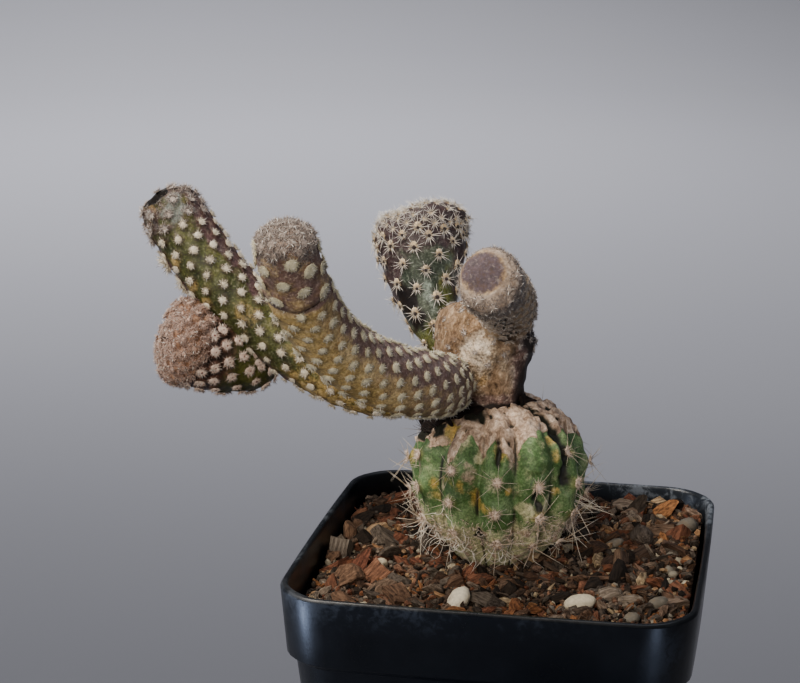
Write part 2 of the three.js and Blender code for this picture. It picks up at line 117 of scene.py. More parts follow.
def seat(piece, material, slot, *nodes):  # finish of every piece: its look, body and node
    piece.data.materials.clear()
    piece.data.materials.append(material)
    pickOnly(piece)
    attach(piece, "root")
    if nodes:
        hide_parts(*nodes)
    print(f"{piece.name}: {sum(len(face.vertices) - 2 for face in piece.data.polygons)} triangles")
    return piece


def meshPiece(name, points, faces, smooth=True):  # points in millimetres
    mesh = bpy.data.meshes.new(name)
    mesh.from_pydata((np.asarray(points) * mm).tolist(), [], np.asarray(faces).tolist())
    mesh.polygons.foreach_set("use_smooth", [smooth] * len(mesh.polygons))
    piece = bpy.data.objects.new(name, mesh)
    bpy.context.scene.collection.objects.link(piece)
    return piece


def startPiece(name, addPrimitive, **sizes):
    deselectAll()
    addPrimitive(**sizes)
    piece = bpy.context.object
    piece.name = name
    return piece


def drawOut(extrude, rise, wider):  # in edit mode: what is selected, raised and widened
    extrude(TRANSFORM_OT_translate={"value": (0, 0, rise)})
    bpy.ops.transform.resize(value=(wider, wider, 1), center_override=(0, 0, 0))


def turnOutward():  # ends the editing, with every face turned outward
    bpy.ops.mesh.select_all(action="SELECT")
    bpy.ops.mesh.normals_make_consistent(inside=False)
    editMode(False)


# Materials

def linear(hexColour):  # sRGB hex to the linear colour that the shader wants
    parts = [int(hexColour[place:place + 2], 16) / 255 for place in (1, 3, 5)]
    return [part / 12.92 if part <= 0.04045 else ((part + 0.055) / 1.055) ** 2.4
            for part in parts] + [1]


def addNode(tree, kind, inputs=None, stops=None, **settings):
    node = tree.nodes.new(kind)
    for name, value in settings.items():
        setattr(node, name, value)
    for key, value in (inputs or {}).items():
        if isinstance(value, bpy.types.NodeSocket):
            tree.links.new(value, node.inputs[key])
        else:
            node.inputs[key].default_value = value
    stops = [stops[0], stops[-1], *stops[1:-1]] if stops else []  # a new ramp has its two ends
    for index, (place, colour) in enumerate(stops):
        ramp = node.color_ramp.elements
        stop = ramp[index] if index < 2 else ramp.new(place)
        stop.position = place
        stop.color = linear(colour)
    return node


class Finish:  # a principled surface, its constants on its own sockets, and the nodes that feed it
    def __init__(self, name, **sockets):
        self.material = bpy.data.materials.new(name)
        self.material.use_nodes = True
        self.tree = self.material.node_tree
        self.surface = self.tree.nodes["Principled BSDF"]
        for key, value in sockets.items():
            self.surface.inputs[key.replace("_", " ")].default_value = value
        self.place = addNode(self.tree, "ShaderNodeTexCoord").outputs["Object"]

    def noise(self, size, detail, roughness=0.5, distortion=0, along=None):  # size in millimetres
        return addNode(self.tree, "ShaderNodeTexNoise", {
            "Vector": self.place if along is None else along, "Scale": 1000 / size,
            "Detail": detail, "Roughness": roughness, "Distortion": distortion}).outputs["Fac"]

    def tint(self, name, output="Fac"):  # the number, or the vector, that each point carries
        return addNode(self.tree, "ShaderNodeAttribute", attribute_name=name).outputs[output]

    def ramp(self, value, stops):
        return addNode(self.tree, "ShaderNodeValToRGB", {"Fac": value}, stops=stops).outputs[0]

    def spread(self, value, low, high, toLow=0, toHigh=1, curve="LINEAR"):
        return addNode(self.tree, "ShaderNodeMapRange", {
            "Value": value, "From Min": low, "From Max": high, "To Min": toLow, "To Max": toHigh},
            interpolation_type=curve).outputs[0]

    def scaled(self, value, times, plus=0):
        return addNode(self.tree, "ShaderNodeMath", {0: value, 1: times, 2: plus},
                       operation="MULTIPLY_ADD").outputs[0]

    def mix(self, share, under, over, blend="MIX"):
        return addNode(self.tree, "ShaderNodeMix", {0: share, 6: under, 7: over},
                       data_type="RGBA", blend_type=blend).outputs[2]

    def done(self, colour, height=None, strength=0, depth=0, gloss=None):  # depth in millimetres
        self.tree.links.new(colour, self.surface.inputs["Base Color"])
        if gloss is not None:
            self.tree.links.new(gloss, self.surface.inputs["Roughness"])
        if height is not None:
            bump = addNode(self.tree, "ShaderNodeBump", {
                "Height": height, "Strength": strength, "Distance": depth * mm}).outputs[0]
            self.tree.links.new(bump, self.surface.inputs["Normal"])
        return self.material


def livingSkin(name, look):
    # Live cactus skin: flesh under a waxy cuticle. It gives a broad soft sheen, patches of
    # tone a few millimetres across, a purple blush where the sun falls and corky old parts.
    skin = Finish(name, IOR=1.42, Subsurface_Weight=0.04, Subsurface_Radius=(0.0012, 0.0009, 0.0004))
    mottle = skin.noise(1.5, 8, 0.8)
    grain = skin.noise(0.4, 3)  # cuticle wrinkles, drawn coarser than they are
    flecks = skin.noise(0.8, 5, 0.75)

    def shades(tint, pattern):  # the look's colours for this tint, from dark to light
        places = look.get(f"{tint}Places", rampPlaces[tint])
        return skin.ramp(pattern, list(zip(places, look[tint].split())))

    def edged(tint, low, high, breakUp):  # the tint's edge, broken up by the mottle
        strayed = skin.scaled(mottle, breakUp, skin.tint(tint))
        return skin.spread(strayed, low + breakUp / 2, high + breakUp / 2, curve="SMOOTHSTEP")

    colour = shades("flesh", skin.noise(look["patch"], 3))
    for tint, low, high, breakUp in (("ripe", 0.15, 1.0, 1.8), ("blush", 0.2, 0.85, 1.9),
                                     ("bloom", 0.15, 1.0, 1.8)):
        colour = skin.mix(edged(tint, low, high, breakUp), colour, shades(tint, mottle))
    around = skin.spread(skin.tint("areole"), 0.6, 1.5, look["halo"], 0)
    colour = skin.mix(around, colour, linear(look["haloColour"]))
    for tint, start, full in (("fleck", 0.49, 0.38), ("scurf", 0.53, 0.66)):
        shade, weight = look[tint]
        colour = skin.mix(skin.spread(flecks, start, full, 0, weight), colour, linear(shade))
    corky = edged("cork", 0.35, 0.6, 0.5)
    streaked = addNode(skin.tree, "ShaderNodeMapping", {
        "Vector": skin.place, "Scale": (1, 1, look.get("streak", 1))}).outputs[0]
    bark = skin.noise(1.9, 6, look.get("crumble", 0.7), 0.8, along=streaked)
    colour = skin.mix(corky, colour, shades("cork", bark))
    # painted shade: the tint deep darkens undersides, creases, furrows and hollows towards the look's
    # deep colour
    colour = skin.mix(edged("deep", 0.25, 0.85, 0.3), colour, linear(look["deep"]))
    colour = skin.mix(1.0, colour, skin.spread(grain, 0.3, 0.7, 0.66, 1.3), "MULTIPLY")
    gloss = skin.scaled(grain, 0.2, skin.spread(corky, 0, 1, look["roughness"], 0.88))
    relief = skin.scaled(grain, 0.35, skin.scaled(bark, corky))
    return skin.done(colour, relief, look.get("relief", 0.6), 0.35, gloss)


def areoleWool(name, woolColour, shadeColour, centreColour):
    # Short matted plant wool: no gloss at all, a soft pale edge from the fine hair tips,
    # and a darker middle where the spines of an areole come out.
    wool = Finish(name, Roughness=0.95, Sheen_Weight=0.35, Sheen_Roughness=0.6,
                  Specular_IOR_Level=0.15)
    matted = wool.noise(0.8, 4, 0.7)
    colour = wool.ramp(matted, [(0.32, shadeColour), (0.62, woolColour)])
    return wool.done(wool.mix(wool.tint("tone"), colour, linear(centreColour)), matted, 0.5, 0.2)


def spineHorn(name, tipColour, rootColour):
    # Fine papery spines: keratin-pale, a little glossy, darker and browner at the root.
    horn = Finish(name, Roughness=0.5, IOR=1.5)
    return horn.done(horn.ramp(horn.tint("tone"), [(0.0, tipColour), (1.0, rootColour)]))


def barkChipFinish():
    # Composted pine bark: dry layered cork, matt, each chip in a brown of its own with
    # lighter and darker layers along it, from near black through red-brown to orange.
    bark = Finish("composted pine bark", Roughness=0.9, Specular_IOR_Level=0.25)
    layers = bark.noise(1000, 5, 0.7, along=bark.tint("grain", "Vector"))  # grain is in millimetres
    own = bark.ramp(bark.tint("tone"), [
        (0.0, "#211a16"), (0.14, "#34291f"), (0.3, "#6f665c"), (0.42, "#4f3a2c"), (0.55, "#7c604b"),
        (0.66, "#978b7c"), (0.76, "#8c6047"), (0.85, "#7a4a37"), (0.93, "#b07a4c"),
        (1.0, "#cdbb98")])
    worn = bark.ramp(layers, [(0.32, "#4a4340"), (0.5, "#b8b2ad"), (0.68, "#ffffff")])
    return bark.done(bark.mix(1.0, own, worn, "MULTIPLY"), layers, 0.9, 0.5)


def soilFinish():
    # Fine wet-dark compost between the chips: crumbs of a millimetre, with painted shade that makes the
    # low gaps between them nearly black.
    earth = Finish("fine compost", Roughness=0.95, Specular_IOR_Level=0.2)
    crumbs = earth.noise(1.1, 6, 0.75)
    colour = earth.ramp(crumbs, [(0.3, "#120d0b"), (0.52, "#33261e"), (0.75, "#6a5040")])
    return earth.done(colour, crumbs, 1.0, 0.6)


def pumiceFinish():
    # Pumice and quartz grit: chalky off-white to grey stone, matt with fine pores.
    grit = Finish("pumice and grit", Roughness=0.8, Specular_IOR_Level=0.4)
    own = grit.ramp(grit.tint("tone"), [
        (0.0, "#4c4740"), (0.35, "#7d7669"), (0.7, "#b3a78c"), (1.0, "#e0d6bf")])
    pores = grit.noise(0.7, 5, 0.6)
    colour = grit.mix(1.0, own, grit.spread(pores, 0.3, 0.7, 0.72, 1.08), "MULTIPLY")
    stained = grit.spread(grit.noise(2.4, 4, 0.7), 0.5, 0.68, 0, 0.65)
    return grit.done(grit.mix(stained, colour, linear("#6b5a44")), pores, 0.6, 0.3)


def potFinish():
    # Black polypropylene, injection moulded: a satin skin that mirrors the sky as a soft bluish
    # sheen, scuffed grey along the rim and dusted with dried water marks. The same marks paint
    # a bluish sheen onto the front rim and the front corners.
    plastic = Finish("black polypropylene", IOR=1.49, Specular_IOR_Level=0.55)
    cloud = plastic.noise(14, 4, 0.6)
    scuff = plastic.noise(1.6, 6, 0.72, 0.5)
    dustAndSheen = plastic.tint("dustAndSheen")
    worn = plastic.spread(plastic.scaled(scuff, cloud), 0.21, 0.32, 0, dustAndSheen, "SMOOTHSTEP")
    # the bluish grey of dust on the back and side rims, and of painted sheen at the front
    hazeAndSheen = plastic.scaled(dustAndSheen, 0.1, 0.01)
    colour = plastic.mix(hazeAndSheen, linear("#050608"), linear("#7d8ba0"))
    colour = plastic.mix(worn, colour, linear("#7d858f"))
    gloss = plastic.scaled(worn, 0.4, plastic.spread(cloud, 0.3, 0.7, 0.26, 0.42))
    moulding = plastic.noise(0.5, 2)  # the mould's fine grain, drawn at 0.5 mm
    return plastic.done(colour, moulding, 0.12, 0.1, gloss)


def graftFinish():
    # Dried graft tissue: shrunken, nearly black, matt with a few brown flakes.
    tissue = Finish("dried graft tissue", Roughness=0.9, Specular_IOR_Level=0.2)
    flaked = tissue.noise(1.2, 6, 0.75)
    colour = tissue.ramp(flaked, [(0.4, "#0c0807"), (0.6, "#1e1410"), (0.75, "#4a3324")])
    return tissue.done(colour, flaked, 0.8, 0.4)


rampPlaces = {"flesh": (0.34, 0.5, 0.68), "ripe": (0.35, 0.65), "blush": (0.35, 0.65),
              "bloom": (0.35, 0.65), "cork": (0.35, 0.52, 0.68)}

skinLooks = {  # colours from dark to light by the mottle; fleck and scurf are a colour and a share; deep is the colour of painted shade
    "arm": {
        "patch": 5, "roughness": 0.46, "halo": 0.55, "haloColour": "#41261f", "deep": "#0d0705",
        "fleck": ("#2b1c15", 0.6), "scurf": ("#8d8874", 0.4),
        "flesh": "#2b3212 #43481d #60602a", "ripe": "#8f7538 #d2b472", "blush": "#352022 #654a49",
        "bloom": "#525a52 #8a9189", "cork": "#3a2a1c #7f6644 #bfa677"},
    # paler than the other arm's skin: partly the front arm's own olive brown, partly painted light on its
    # front, which the lamps leave darker
    "front": {
        "patch": 5, "roughness": 0.5, "halo": 0.25, "haloColour": "#6d5040", "deep": "#38241a",
        "fleck": ("#6b513c", 0.4), "scurf": ("#cdbda2", 0.35),
        "flesh": "#8f7a52 #ae9669 #ccb584", "ripe": "#9d8548 #cdb26c", "blush": "#523b36 #816a64",
        "bloom": "#6b6067 #8d858b", "cork": "#846c5b #ab9382 #d0b9a6"},
    "club": {
        "patch": 5, "roughness": 0.38, "halo": 0.4, "haloColour": "#3a2826", "deep": "#150d0b",
        "fleck": ("#231b19", 0.5), "scurf": ("#8f958a", 0.35),
        "flesh": "#2d382b #454f40 #5f6a58", "ripe": "#3b4216 #686b28", "blush": "#2c2023 #513f40",
        "bloom": "#6c7b70 #9dab9f", "cork": "#2b1d14 #65492f #a0805a"},
    "bud": {
        "patch": 6, "roughness": 0.42, "halo": 0.5, "haloColour": "#35201b", "deep": "#1c110c",
        "fleck": ("#1f1710", 0.45), "scurf": ("#7f7550", 0.25),
        "flesh": "#28300f #3b4018 #525321", "ripe": "#5d5524 #8a7a3a", "blush": "#462a22 #785546",
        "bloom": "#7d6a70 #9c878a", "cork": "#5c3f2e #8a6954 #b4947c"},
    # partly the club's own tan, partly painted light: paler, for the side that the lamps leave in shade
    "woollyClub": {
        "patch": 5, "roughness": 0.6, "halo": 0, "haloColour": "#3a2a20", "deep": "#1a100b",
        "fleck": ("#6b5240", 0.45), "scurf": ("#b9ab96", 0.2), "relief": 0.4,
        "flesh": "#8c7250 #b2956f #d2b993", "ripe": "#8f7d55 #b9a67c", "blush": "#3f343a #5b4d54",
        "bloom": "#b0a88d #d2caad", "cork": "#7f6d5d #9e8e80 #bdaea0"},
    "trunk": {
        "patch": 5, "roughness": 0.5, "halo": 0, "haloColour": "#6a4a30", "deep": "#1d120c",
        "fleck": ("#3e2a1c", 0.6), "scurf": ("#d8c8b4", 0.5), "streak": 0.7, "crumble": 0.74,
        "relief": 1.0,
        "flesh": "#5b4632 #7d684c #a38c6e", "ripe": "#8f6b38 #cfa766", "blush": "#46302a #8a6e63",
        "bloom": "#c4ab8b #eee1ce", "cork": "#402c1e #7a6148 #a1866a #d4bd9f",
        "corkPlaces": (0.32, 0.44, 0.56, 0.7)},
    "stock": {
        "patch": 6, "roughness": 0.46, "halo": 0.3, "haloColour": "#9a8a5c", "deep": "#15160c",
        "fleck": ("#34451f", 0.4), "scurf": ("#a9a98a", 0.15), "streak": 0.6,
        "flesh": "#314a21 #4a6838 #728a5c", "ripe": "#8f7c34 #cfa854", "blush": "#7d6a5a #a8937f",
        "bloom": "#8a8f68 #c9c29c", "cork": "#5c4636 #97806c #c6af9a #ecdccb",
        "fleshPlaces": (0.32, 0.5, 0.7), "corkPlaces": (0.3, 0.44, 0.58, 0.72)},
}
woolLooks = {  # colours of the hair tips, of the shade between them and of the middle
    "cream": ("cream areole wool", "#e3dac8", "#bfb193", "#94805a"),
    "front": ("faded areole wool", "#d6ceb0", "#b3aa8b", "#a89a70"),
    "pink": ("pinkish bud wool", "#efdbcd", "#c4a693", "#6b3a30"),
    "felt": ("pinkish tan felt", "#d0b09e", "#a38373", "#4a2c20"),
    "grey": ("grey tan wool", "#c6b9ae", "#9c8e84", "#4a3630"),
    "tan": ("tan club wool", "#cbbaa6", "#9a8673", "#5d4638"),
    "dusk": ("dim tip wool", "#b0a195", "#82736a", "#4a3a33"),
    "club": ("club areole wool", "#f0dcb8", "#d0b184", "#22120d"),
    "stock": ("stock areole wool", "#efdccb", "#ccb29b", "#ab8c74"),
}

print("materials")
skins = {name: livingSkin(f"{name} skin", look) for name, look in skinLooks.items()}
wools = {name: areoleWool(*look) for name, look in woolLooks.items()}
whiteSpine = spineHorn("white spine", "#f2f0ec", "#d6cdbf")
stockSpine = spineHorn("straw spine", "#ddd6c6", "#a58b6e")
darkHair = spineHorn("dark dried hair", "#2a211d", "#15100d")
rootFibre = spineHorn("dried root", "#e2ddd2", "#b3a794")
barkFinish = barkChipFinish()
compost = soilFinish()
stone = pumiceFinish()
blackPlastic = potFinish()
driedTissue = graftFinish()


# Camera and light

view = {"place": (50, -356.1, 209.1), "down": 14.7, "left": 11.3, "lens": 90}

cameraData = bpy.data.cameras.new("camera")
camera = bpy.data.objects.new("camera", cameraData)
camera.location = [value * mm for value in view["place"]]
camera.rotation_euler = (math.radians(90 - view["down"]), 0, math.radians(view["left"]))
cameraData.lens = view["lens"]
cameraData.sensor_width = 36
cameraData.sensor_fit = "HORIZONTAL"
cameraData.clip_start = 0.01
bpy.context.scene.collection.objects.link(camera)
bpy.context.scene.camera = camera

# "on": plant, all but the paper; growth, all but paper and pot; or the paper or the pot alone
lights = table("place aim size power colour on spread", {
    "key": ((-0.25, -0.13, 0.54), (-0.02, 0, 0.1), 0.26, 3.5, "#fff6ea", "plant"),
    "sky": ((0.1, 0.3, 1.2), (0, 0, 0.08), 0.9, 3, "#e6eeff", "plant"),
    "window": ((-1.0, -0.2, 0.2), (0, 0, 0.07), 0.5, 1.6, "#cfe0ff", "plant"),
    "fill": ((-0.12, -0.8, 0.4), (-0.02, 0, 0.1), 0.5, 5.6, "#fff4e6", "growth"),
    "corner": ((1.0, -0.3, 0.3), (0, 0, 0.1), 0.3, 1.8, "#e6ecff", "growth"),
    "wash": ((-0.4, 1.02, 0.95), (-0.33, 0.76, 0), 0.6, 6.4, "#f6f6fd", "paper", 122),
    "sheenLeft": ((-0.74, -0.42, -0.25), (0, 0, 0.06), 0.14, 4.4, "#c4d8ff", "pot"),
    "sheenRight": ((0.54, -0.7, -0.3), (0, 0, 0.06), 0.18, 1, "#c4d8ff", "pot"),
})
stands = {}
for name, light in lights.items():
    lamp = bpy.data.lights.new(name, "AREA")
    lamp.shape = "DISK"
    lamp.size = light["size"]
    lamp.energy = light["power"]
    lamp.spread = math.radians(light.get("spread", 180))
    lamp.color = linear(light["colour"])[:3]
    stand = bpy.data.objects.new(name, lamp)
    stand.location = light["place"]
    aim = Vector(light["aim"]) - Vector(light["place"])
    stand.rotation_euler = aim.to_track_quat("-Z", "Y").to_euler()
    stand.visible_camera = False
    bpy.context.scene.collection.objects.link(stand)
    stands[name] = stand

world = bpy.data.worlds.new("studio")
world.use_nodes = True
world.node_tree.nodes["Background"].inputs["Color"].default_value = linear("#c4c8d2")
world.node_tree.nodes["Background"].inputs["Strength"].default_value = 0.13
bpy.context.scene.world = world

# the paper's colour, and a greyer painted shade near the pot up to these depths
stage = {"flat": 1.1, "bend": 0.9, "steps": 14, "colour": "#c0c0c4", "shadedNearColour": "#aeaeb2",
         "shadeUntil": (0.06, 0.42)}


def buildFloor():  # a flat disc that bends up into a round wall
    floor = startPiece("paperFloor", bpy.ops.mesh.primitive_circle_add, vertices=96,
                       radius=stage["flat"], fill_type="NGON")
    rim, low = stage["flat"], 0
    for step in range(1, stage["steps"] + 1):
        turn = step / stage["steps"] * math.pi / 2
        nextRim = stage["flat"] + stage["bend"] * math.sin(turn)
        nextLow = stage["bend"] * (1 - math.cos(turn))
        selectWhere(floor, lambda edge: edge.is_boundary, "edges")
        drawOut(bpy.ops.mesh.extrude_edges_move, nextLow - low, nextRim / rim)
        rim, low = nextRim, nextLow
    editMode(False)
    bpy.ops.object.shade_smooth()
    paper = Finish("matt backdrop paper", Roughness=0.9)  # a matt ground that takes soft shadows, with painted shade near the pot
    depth = addNode(paper.tree, "ShaderNodeSeparateXYZ", {0: paper.place}).outputs["Y"]
    near = paper.spread(depth, *stage["shadeUntil"], curve="SMOOTHSTEP")  # painted shade: the paper is greyer near the pot
    colour = paper.mix(near, linear(stage["shadedNearColour"]), linear(stage["colour"]))
    floor.data.materials.append(paper.done(colour))
    return floor


def shareLamps(name, pieces, state):  # the lamps of this name light these alone, or all but these
    lit = bpy.data.collections.new(f"light on the {name}")
    for index, piece in enumerate(pieces):
        lit.objects.link(piece)
        lit.collection_objects[index].light_linking.link_state = state
    for lamp, light in lights.items():
        if light["on"] == name:
            stands[lamp].light_linking.receiver_collection = lit
            if name == "pot":  # what stands between casts no shadow on its sheen
                stands[lamp].light_linking.blocker_collection = lit


print("camera, light and floor")
paperFloor = buildFloor()
shareLamps("plant", [paperFloor], "EXCLUDE")
shareLamps("paper", [paperFloor], "INCLUDE")


# Pot

pot = {
    "height": 76, "rimWidth": 74.5, "bandHeight": 13, "bandDraft": 0.9, "bandStep": 1.4,
    "bandInset": 1.2, "bandMiddle": 70, "lip": 0.5, "baseWidth": 57, "footRound": 0.9,
    "cornerRadius": 7, "wall": 1.3, "floor": 1.6, "sideBow": 0.6, "drainDiameter": 7,
    "drainReach": 17, "edgeRound": 0.35,
    # dried water marks on the back, right and left rims; the marks on the front rim and the front corners
    # are a painted bluish sheen
    "dustAndSheen": [((20, 36, 74.8), (20, 3.5, 2.6), 1), ((36, 28, 75.6), (3, 14, 1.6), 0.9),
             ((-36.6, 4, 76), (1.4, 32, 1.2), 0.3), ((-12, -37.4, 75.2), (26, 2, 1), 0.16),
             ((-34.6, -35, 74), (4, 4, 3), 0.2), ((33, -36, 72), (4, 4, 3), 0.2)],
}
bandBottom = pot["height"] - pot["bandHeight"]
innerStep = (bandBottom + 0.9, bandBottom - 0.6)  # where the inside steps in under the band
bodyTopHalf = pot["rimWidth"] / 2 - pot["bandDraft"] - pot["bandStep"]


def outerHalf(z):  # half width of the pot's outside at a height
    if z >= bandBottom:
        return pot["rimWidth"] / 2 - pot["bandDraft"] * (pot["height"] - z) / pot["bandHeight"]
    bodyTop = bandBottom - pot["bandInset"]
    if z >= bodyTop:
        return bodyTopHalf + pot["bandStep"] * (z - bodyTop) / pot["bandInset"]
    return pot["baseWidth"] / 2 + (bodyTopHalf - pot["baseWidth"] / 2) * z / bodyTop


def innerHalf(z):
    return outerHalf(max(z - 0.8, 0)) - pot["wall"]


def roundedReach(x, y, corner):  # how far out a rounded square goes, for a point on a plain one
    half = max(abs(x), abs(y), 1e-9)
    u, v = abs(x) / half, abs(y) / half
    start = 1 - corner
    if min(u, v) <= start:
        return 1
    dot = start * (u + v)
    reach = (dot + math.sqrt(max(dot * dot - (u * u + v * v) * (2 * start * start - corner ** 2), 0)))
    return reach / (u * u + v * v)


def potLevels():  # height and half width, up the outside, over the lip and down the inside
    top, lip = pot["height"], pot["lip"]
    low, inFloor = pot["bandMiddle"], pot["floor"] + 1
    return [(1, outerHalf(1)), (bandBottom - pot["bandInset"], bodyTopHalf),
            (bandBottom, outerHalf(bandBottom)), (low, outerHalf(low)),
            (top - lip, outerHalf(top - lip)), (top, outerHalf(top) - 0.4),
            (top, innerHalf(top) + 0.3), (top - lip, innerHalf(top - lip)), (low, innerHalf(low)),
            *((step, innerHalf(step)) for step in innerStep), (inFloor, innerHalf(inFloor)),
            (pot["floor"], innerHalf(2) - 1.2)]


def buildPot():
    z, half = 0, pot["baseWidth"] / 2 - pot["footRound"]
    piece = startPiece("potShell", bpy.ops.mesh.primitive_plane_add, size=2 * half * mm)
    editMode(True)
    bpy.ops.mesh.select_all(action="SELECT")
    bpy.ops.mesh.bevel(offset=pot["cornerRadius"] * mm, segments=8, affect="VERTICES")
    for nextZ, nextHalf in potLevels():
        drawOut(bpy.ops.mesh.extrude_region_move, (nextZ - z) * mm, nextHalf / half)
        z, half = nextZ, nextHalf
    longEdge = 20 * mm
    selectWhere(piece, lambda edge: edge.calc_length() > longEdge
                and abs(edge.verts[0].co.z - edge.verts[1].co.z) < 1e-6, "edges")
    bpy.ops.mesh.subdivide(number_cuts=7)
    turnOutward()
    for x in (-1, 1):
        for y in (-1, 1):
            drain = startPiece("drain", bpy.ops.mesh.primitive_cylinder_add, vertices=32,
                               radius=pot["drainDiameter"] / 2 * mm, depth=8 * mm,
                               location=(x * pot["drainReach"] * mm, y * pot["drainReach"] * mm, 0))
            cut = piece.modifiers.new("drain", "BOOLEAN")
            cut.operation = "DIFFERENCE"
            cut.solver = "EXACT"
            cut.object = drain
            applyModifiers(piece)
            bpy.data.objects.remove(drain)
    points = readPoints(piece.data)
    for near, far in ((0, 1), (1, 0)):  # the middle of each side stands out a little
        side = np.abs(points[:, near]) > 0.97 * np.abs(points).max(axis=1)
        half = np.array([outerHalf(z / mm) for z in points[:, 2]]) * mm
        flat = np.clip(1 - (points[:, far] / half) ** 2, 0, 1)
        bow = pot["sideBow"] * points[:, 2] / pot["height"]
        onWall = np.abs(points[:, near]) > half - (pot["wall"] + 1) * mm
        points[:, near] += np.where(side | onWall, np.sign(points[:, near]) * bow * flat, 0)
    writePoints(piece.data, points)
    rounding = piece.modifiers.new("rounding", "BEVEL")
    rounding.width = pot["edgeRound"] * mm
    rounding.segments = 2
    rounding.limit_method = "ANGLE"
    rounding.angle_limit = math.radians(38)
    applyModifiers(piece)
    bpy.ops.object.shade_smooth_by_angle(angle=math.radians(40))
    points = readPoints(piece.data) / mm
    dustAndSheenMarks = [weight * smoothStep(np.linalg.norm((points - centre) / size, axis=1), 1.5, 0.4)
             for centre, size, weight in pot["dustAndSheen"]]  # dried water marks and haze near the rim, with painted sheen at the front
    addTint(piece.data, "dustAndSheen", np.maximum.reduce(dustAndSheenMarks))
    return seat(piece, blackPlastic, "pot_plastic", "pot")


print("pot")
potShell = buildPot()
shareLamps("pot", [potShell], "INCLUDE")
shareLamps("growth", [paperFloor, potShell], "EXCLUDE")


# Stems: round skins along curved centre lines. Each row is a point and the radius there.

stems = {
    "trunk": {
        "rows": [(-4.8, 4.8, 98.5, 5.6), (-4.8, 5.2, 101.5, 5.9), (-5.2, 6, 106, 7.2),
                 (-6, 7, 110.5, 9.3), (-6.2, 7.8, 114, 9.6), (-5.6, 9, 117.3, 8.3),
                 (-5.2, 10, 119.6, 7)],
        "caps": (2, 3)},
    "frontArm": {
        "rows": [(-12, 2.2, 106, 5), (-12.4, -5.6, 107.4, 5.5), (-14, -14.2, 109.8, 5.8),
                 (-19, -24.3, 113.9, 5.8), (-24, -33.2, 119.8, 5.6), (-27, -41.3, 127, 5.3),
                 (-28.5, -49, 135.2, 5.3)],
        "caps": (3, 1.4)},
    "frontTip": {
        "rows": [(-28.4, -48.6, 134.8, 5.2), (-28.7, -51.4, 138.2, 5.6), (-28.8, -54, 142, 5.6),
                 (-28.6, -56.2, 146.8, 5)],
        "caps": (1, 2.8)},
    "leftArm": {
        "rows": [(-6, 7.4, 108.4, 4.6), (-13, 8.6, 105.4, 4.9), (-21.5, 9.4, 102.4, 5.2),
                 (-30.6, 9.4, 102.2, 5.4), (-41.4, 9.5, 107, 5.5), (-50.5, 9.5, 113.6, 5.7),
                 (-57.3, 9.7, 119.8, 6), (-63, 10.4, 126.4, 6.1), (-67.4, 11.2, 132.6, 6),
                 (-70.8, 11.8, 138.4, 5)],
        "caps": (3, 3)},
    "leftBud": {
        "rows": [(-49.6, 15, 107, 4.6), (-53.4, 13, 106, 6.6), (-57.6, 10, 106.8, 7.4),
                 (-61.8, 7, 108.8, 8), (-65, 4.6, 110.6, 7.8), (-67.8, 2.6, 111.8, 6.6)],
        "caps": (4, 2.6)},
    "backClub": {
        "rows": [(-13, 10.6, 106.4, 2.4), (-15.4, 12.6, 109.6, 2.8), (-18, 16, 115.4, 5),
                 (-19.6, 18.6, 119.6, 6.5), (-21, 21.8, 125.8, 8.4), (-21.9, 23.9, 130.4, 8.9),
                 (-21.9, 25.4, 134, 7.9)],
        "caps": (2, 2.6)},
    "rightClub": {
        "rows": [(-3.8, 11, 113.4, 4), (-2.2, 6, 117, 4.7), (-0.6, -2, 121.2, 5),
                 (0.4, -11, 125, 5.1), (1, -22.5, 129.1, 5.2), (1.5, -34, 133.1, 5.3),
                 (1.7, -43.2, 136.6, 5.2)],
        "caps": (3, 1.6)},
    "stock": {
        "rows": [(-3, 5.5, 56, 4), (-3, 5.5, 64, 4.6), (-3, 5.5, 70, 7.2), (-3, 5.5, 76, 12.4),
                 (-3, 5.5, 81, 15.2), (-3, 5.5, 88, 16.5), (-3, 5.5, 94, 15.8), (-3, 5.5, 99, 12.7),
                 (-3, 5.5, 102.8, 7.6)],
        "caps": (2, 2.6)},
}
profileSteps = 360  # the sites of the areoles are counted off along this many steps


def centripetal(points, shares):  # the smooth curve through the points
    points = np.asarray(points, float)
    padded = np.vstack([2 * points[0] - points[1], points, 2 * points[-1] - points[-2]])
    spot = np.clip(np.asarray(shares, float) * (len(points) - 1), 0, len(points) - 1 - 1e-9)
    index = spot.astype(int)
    part = (spot - index)[:, None]
    before, start, end, after = (padded[index + shift] for shift in range(4))
    gaps = [np.sqrt(np.linalg.norm(b - a, axis=1))[:, None]
            for a, b in ((before, start), (start, end), (end, after))]
    middle = np.where(gaps[1] < 1e-4, 1, gaps[1])
    first = np.where(gaps[0] < 1e-4, middle, gaps[0])
    last = np.where(gaps[2] < 1e-4, middle, gaps[2])
    leave = ((start - before) / first - (end - before) / (first + middle)
             + (end - start) / middle) * middle
    reach = ((end - start) / middle - (after - start) / (middle + last)
             + (after - end) / last) * middle
    return (start + leave * part + (3 * (end - start) - 2 * leave - reach) * part ** 2
            + (2 * (start - end) + leave + reach) * part ** 3)


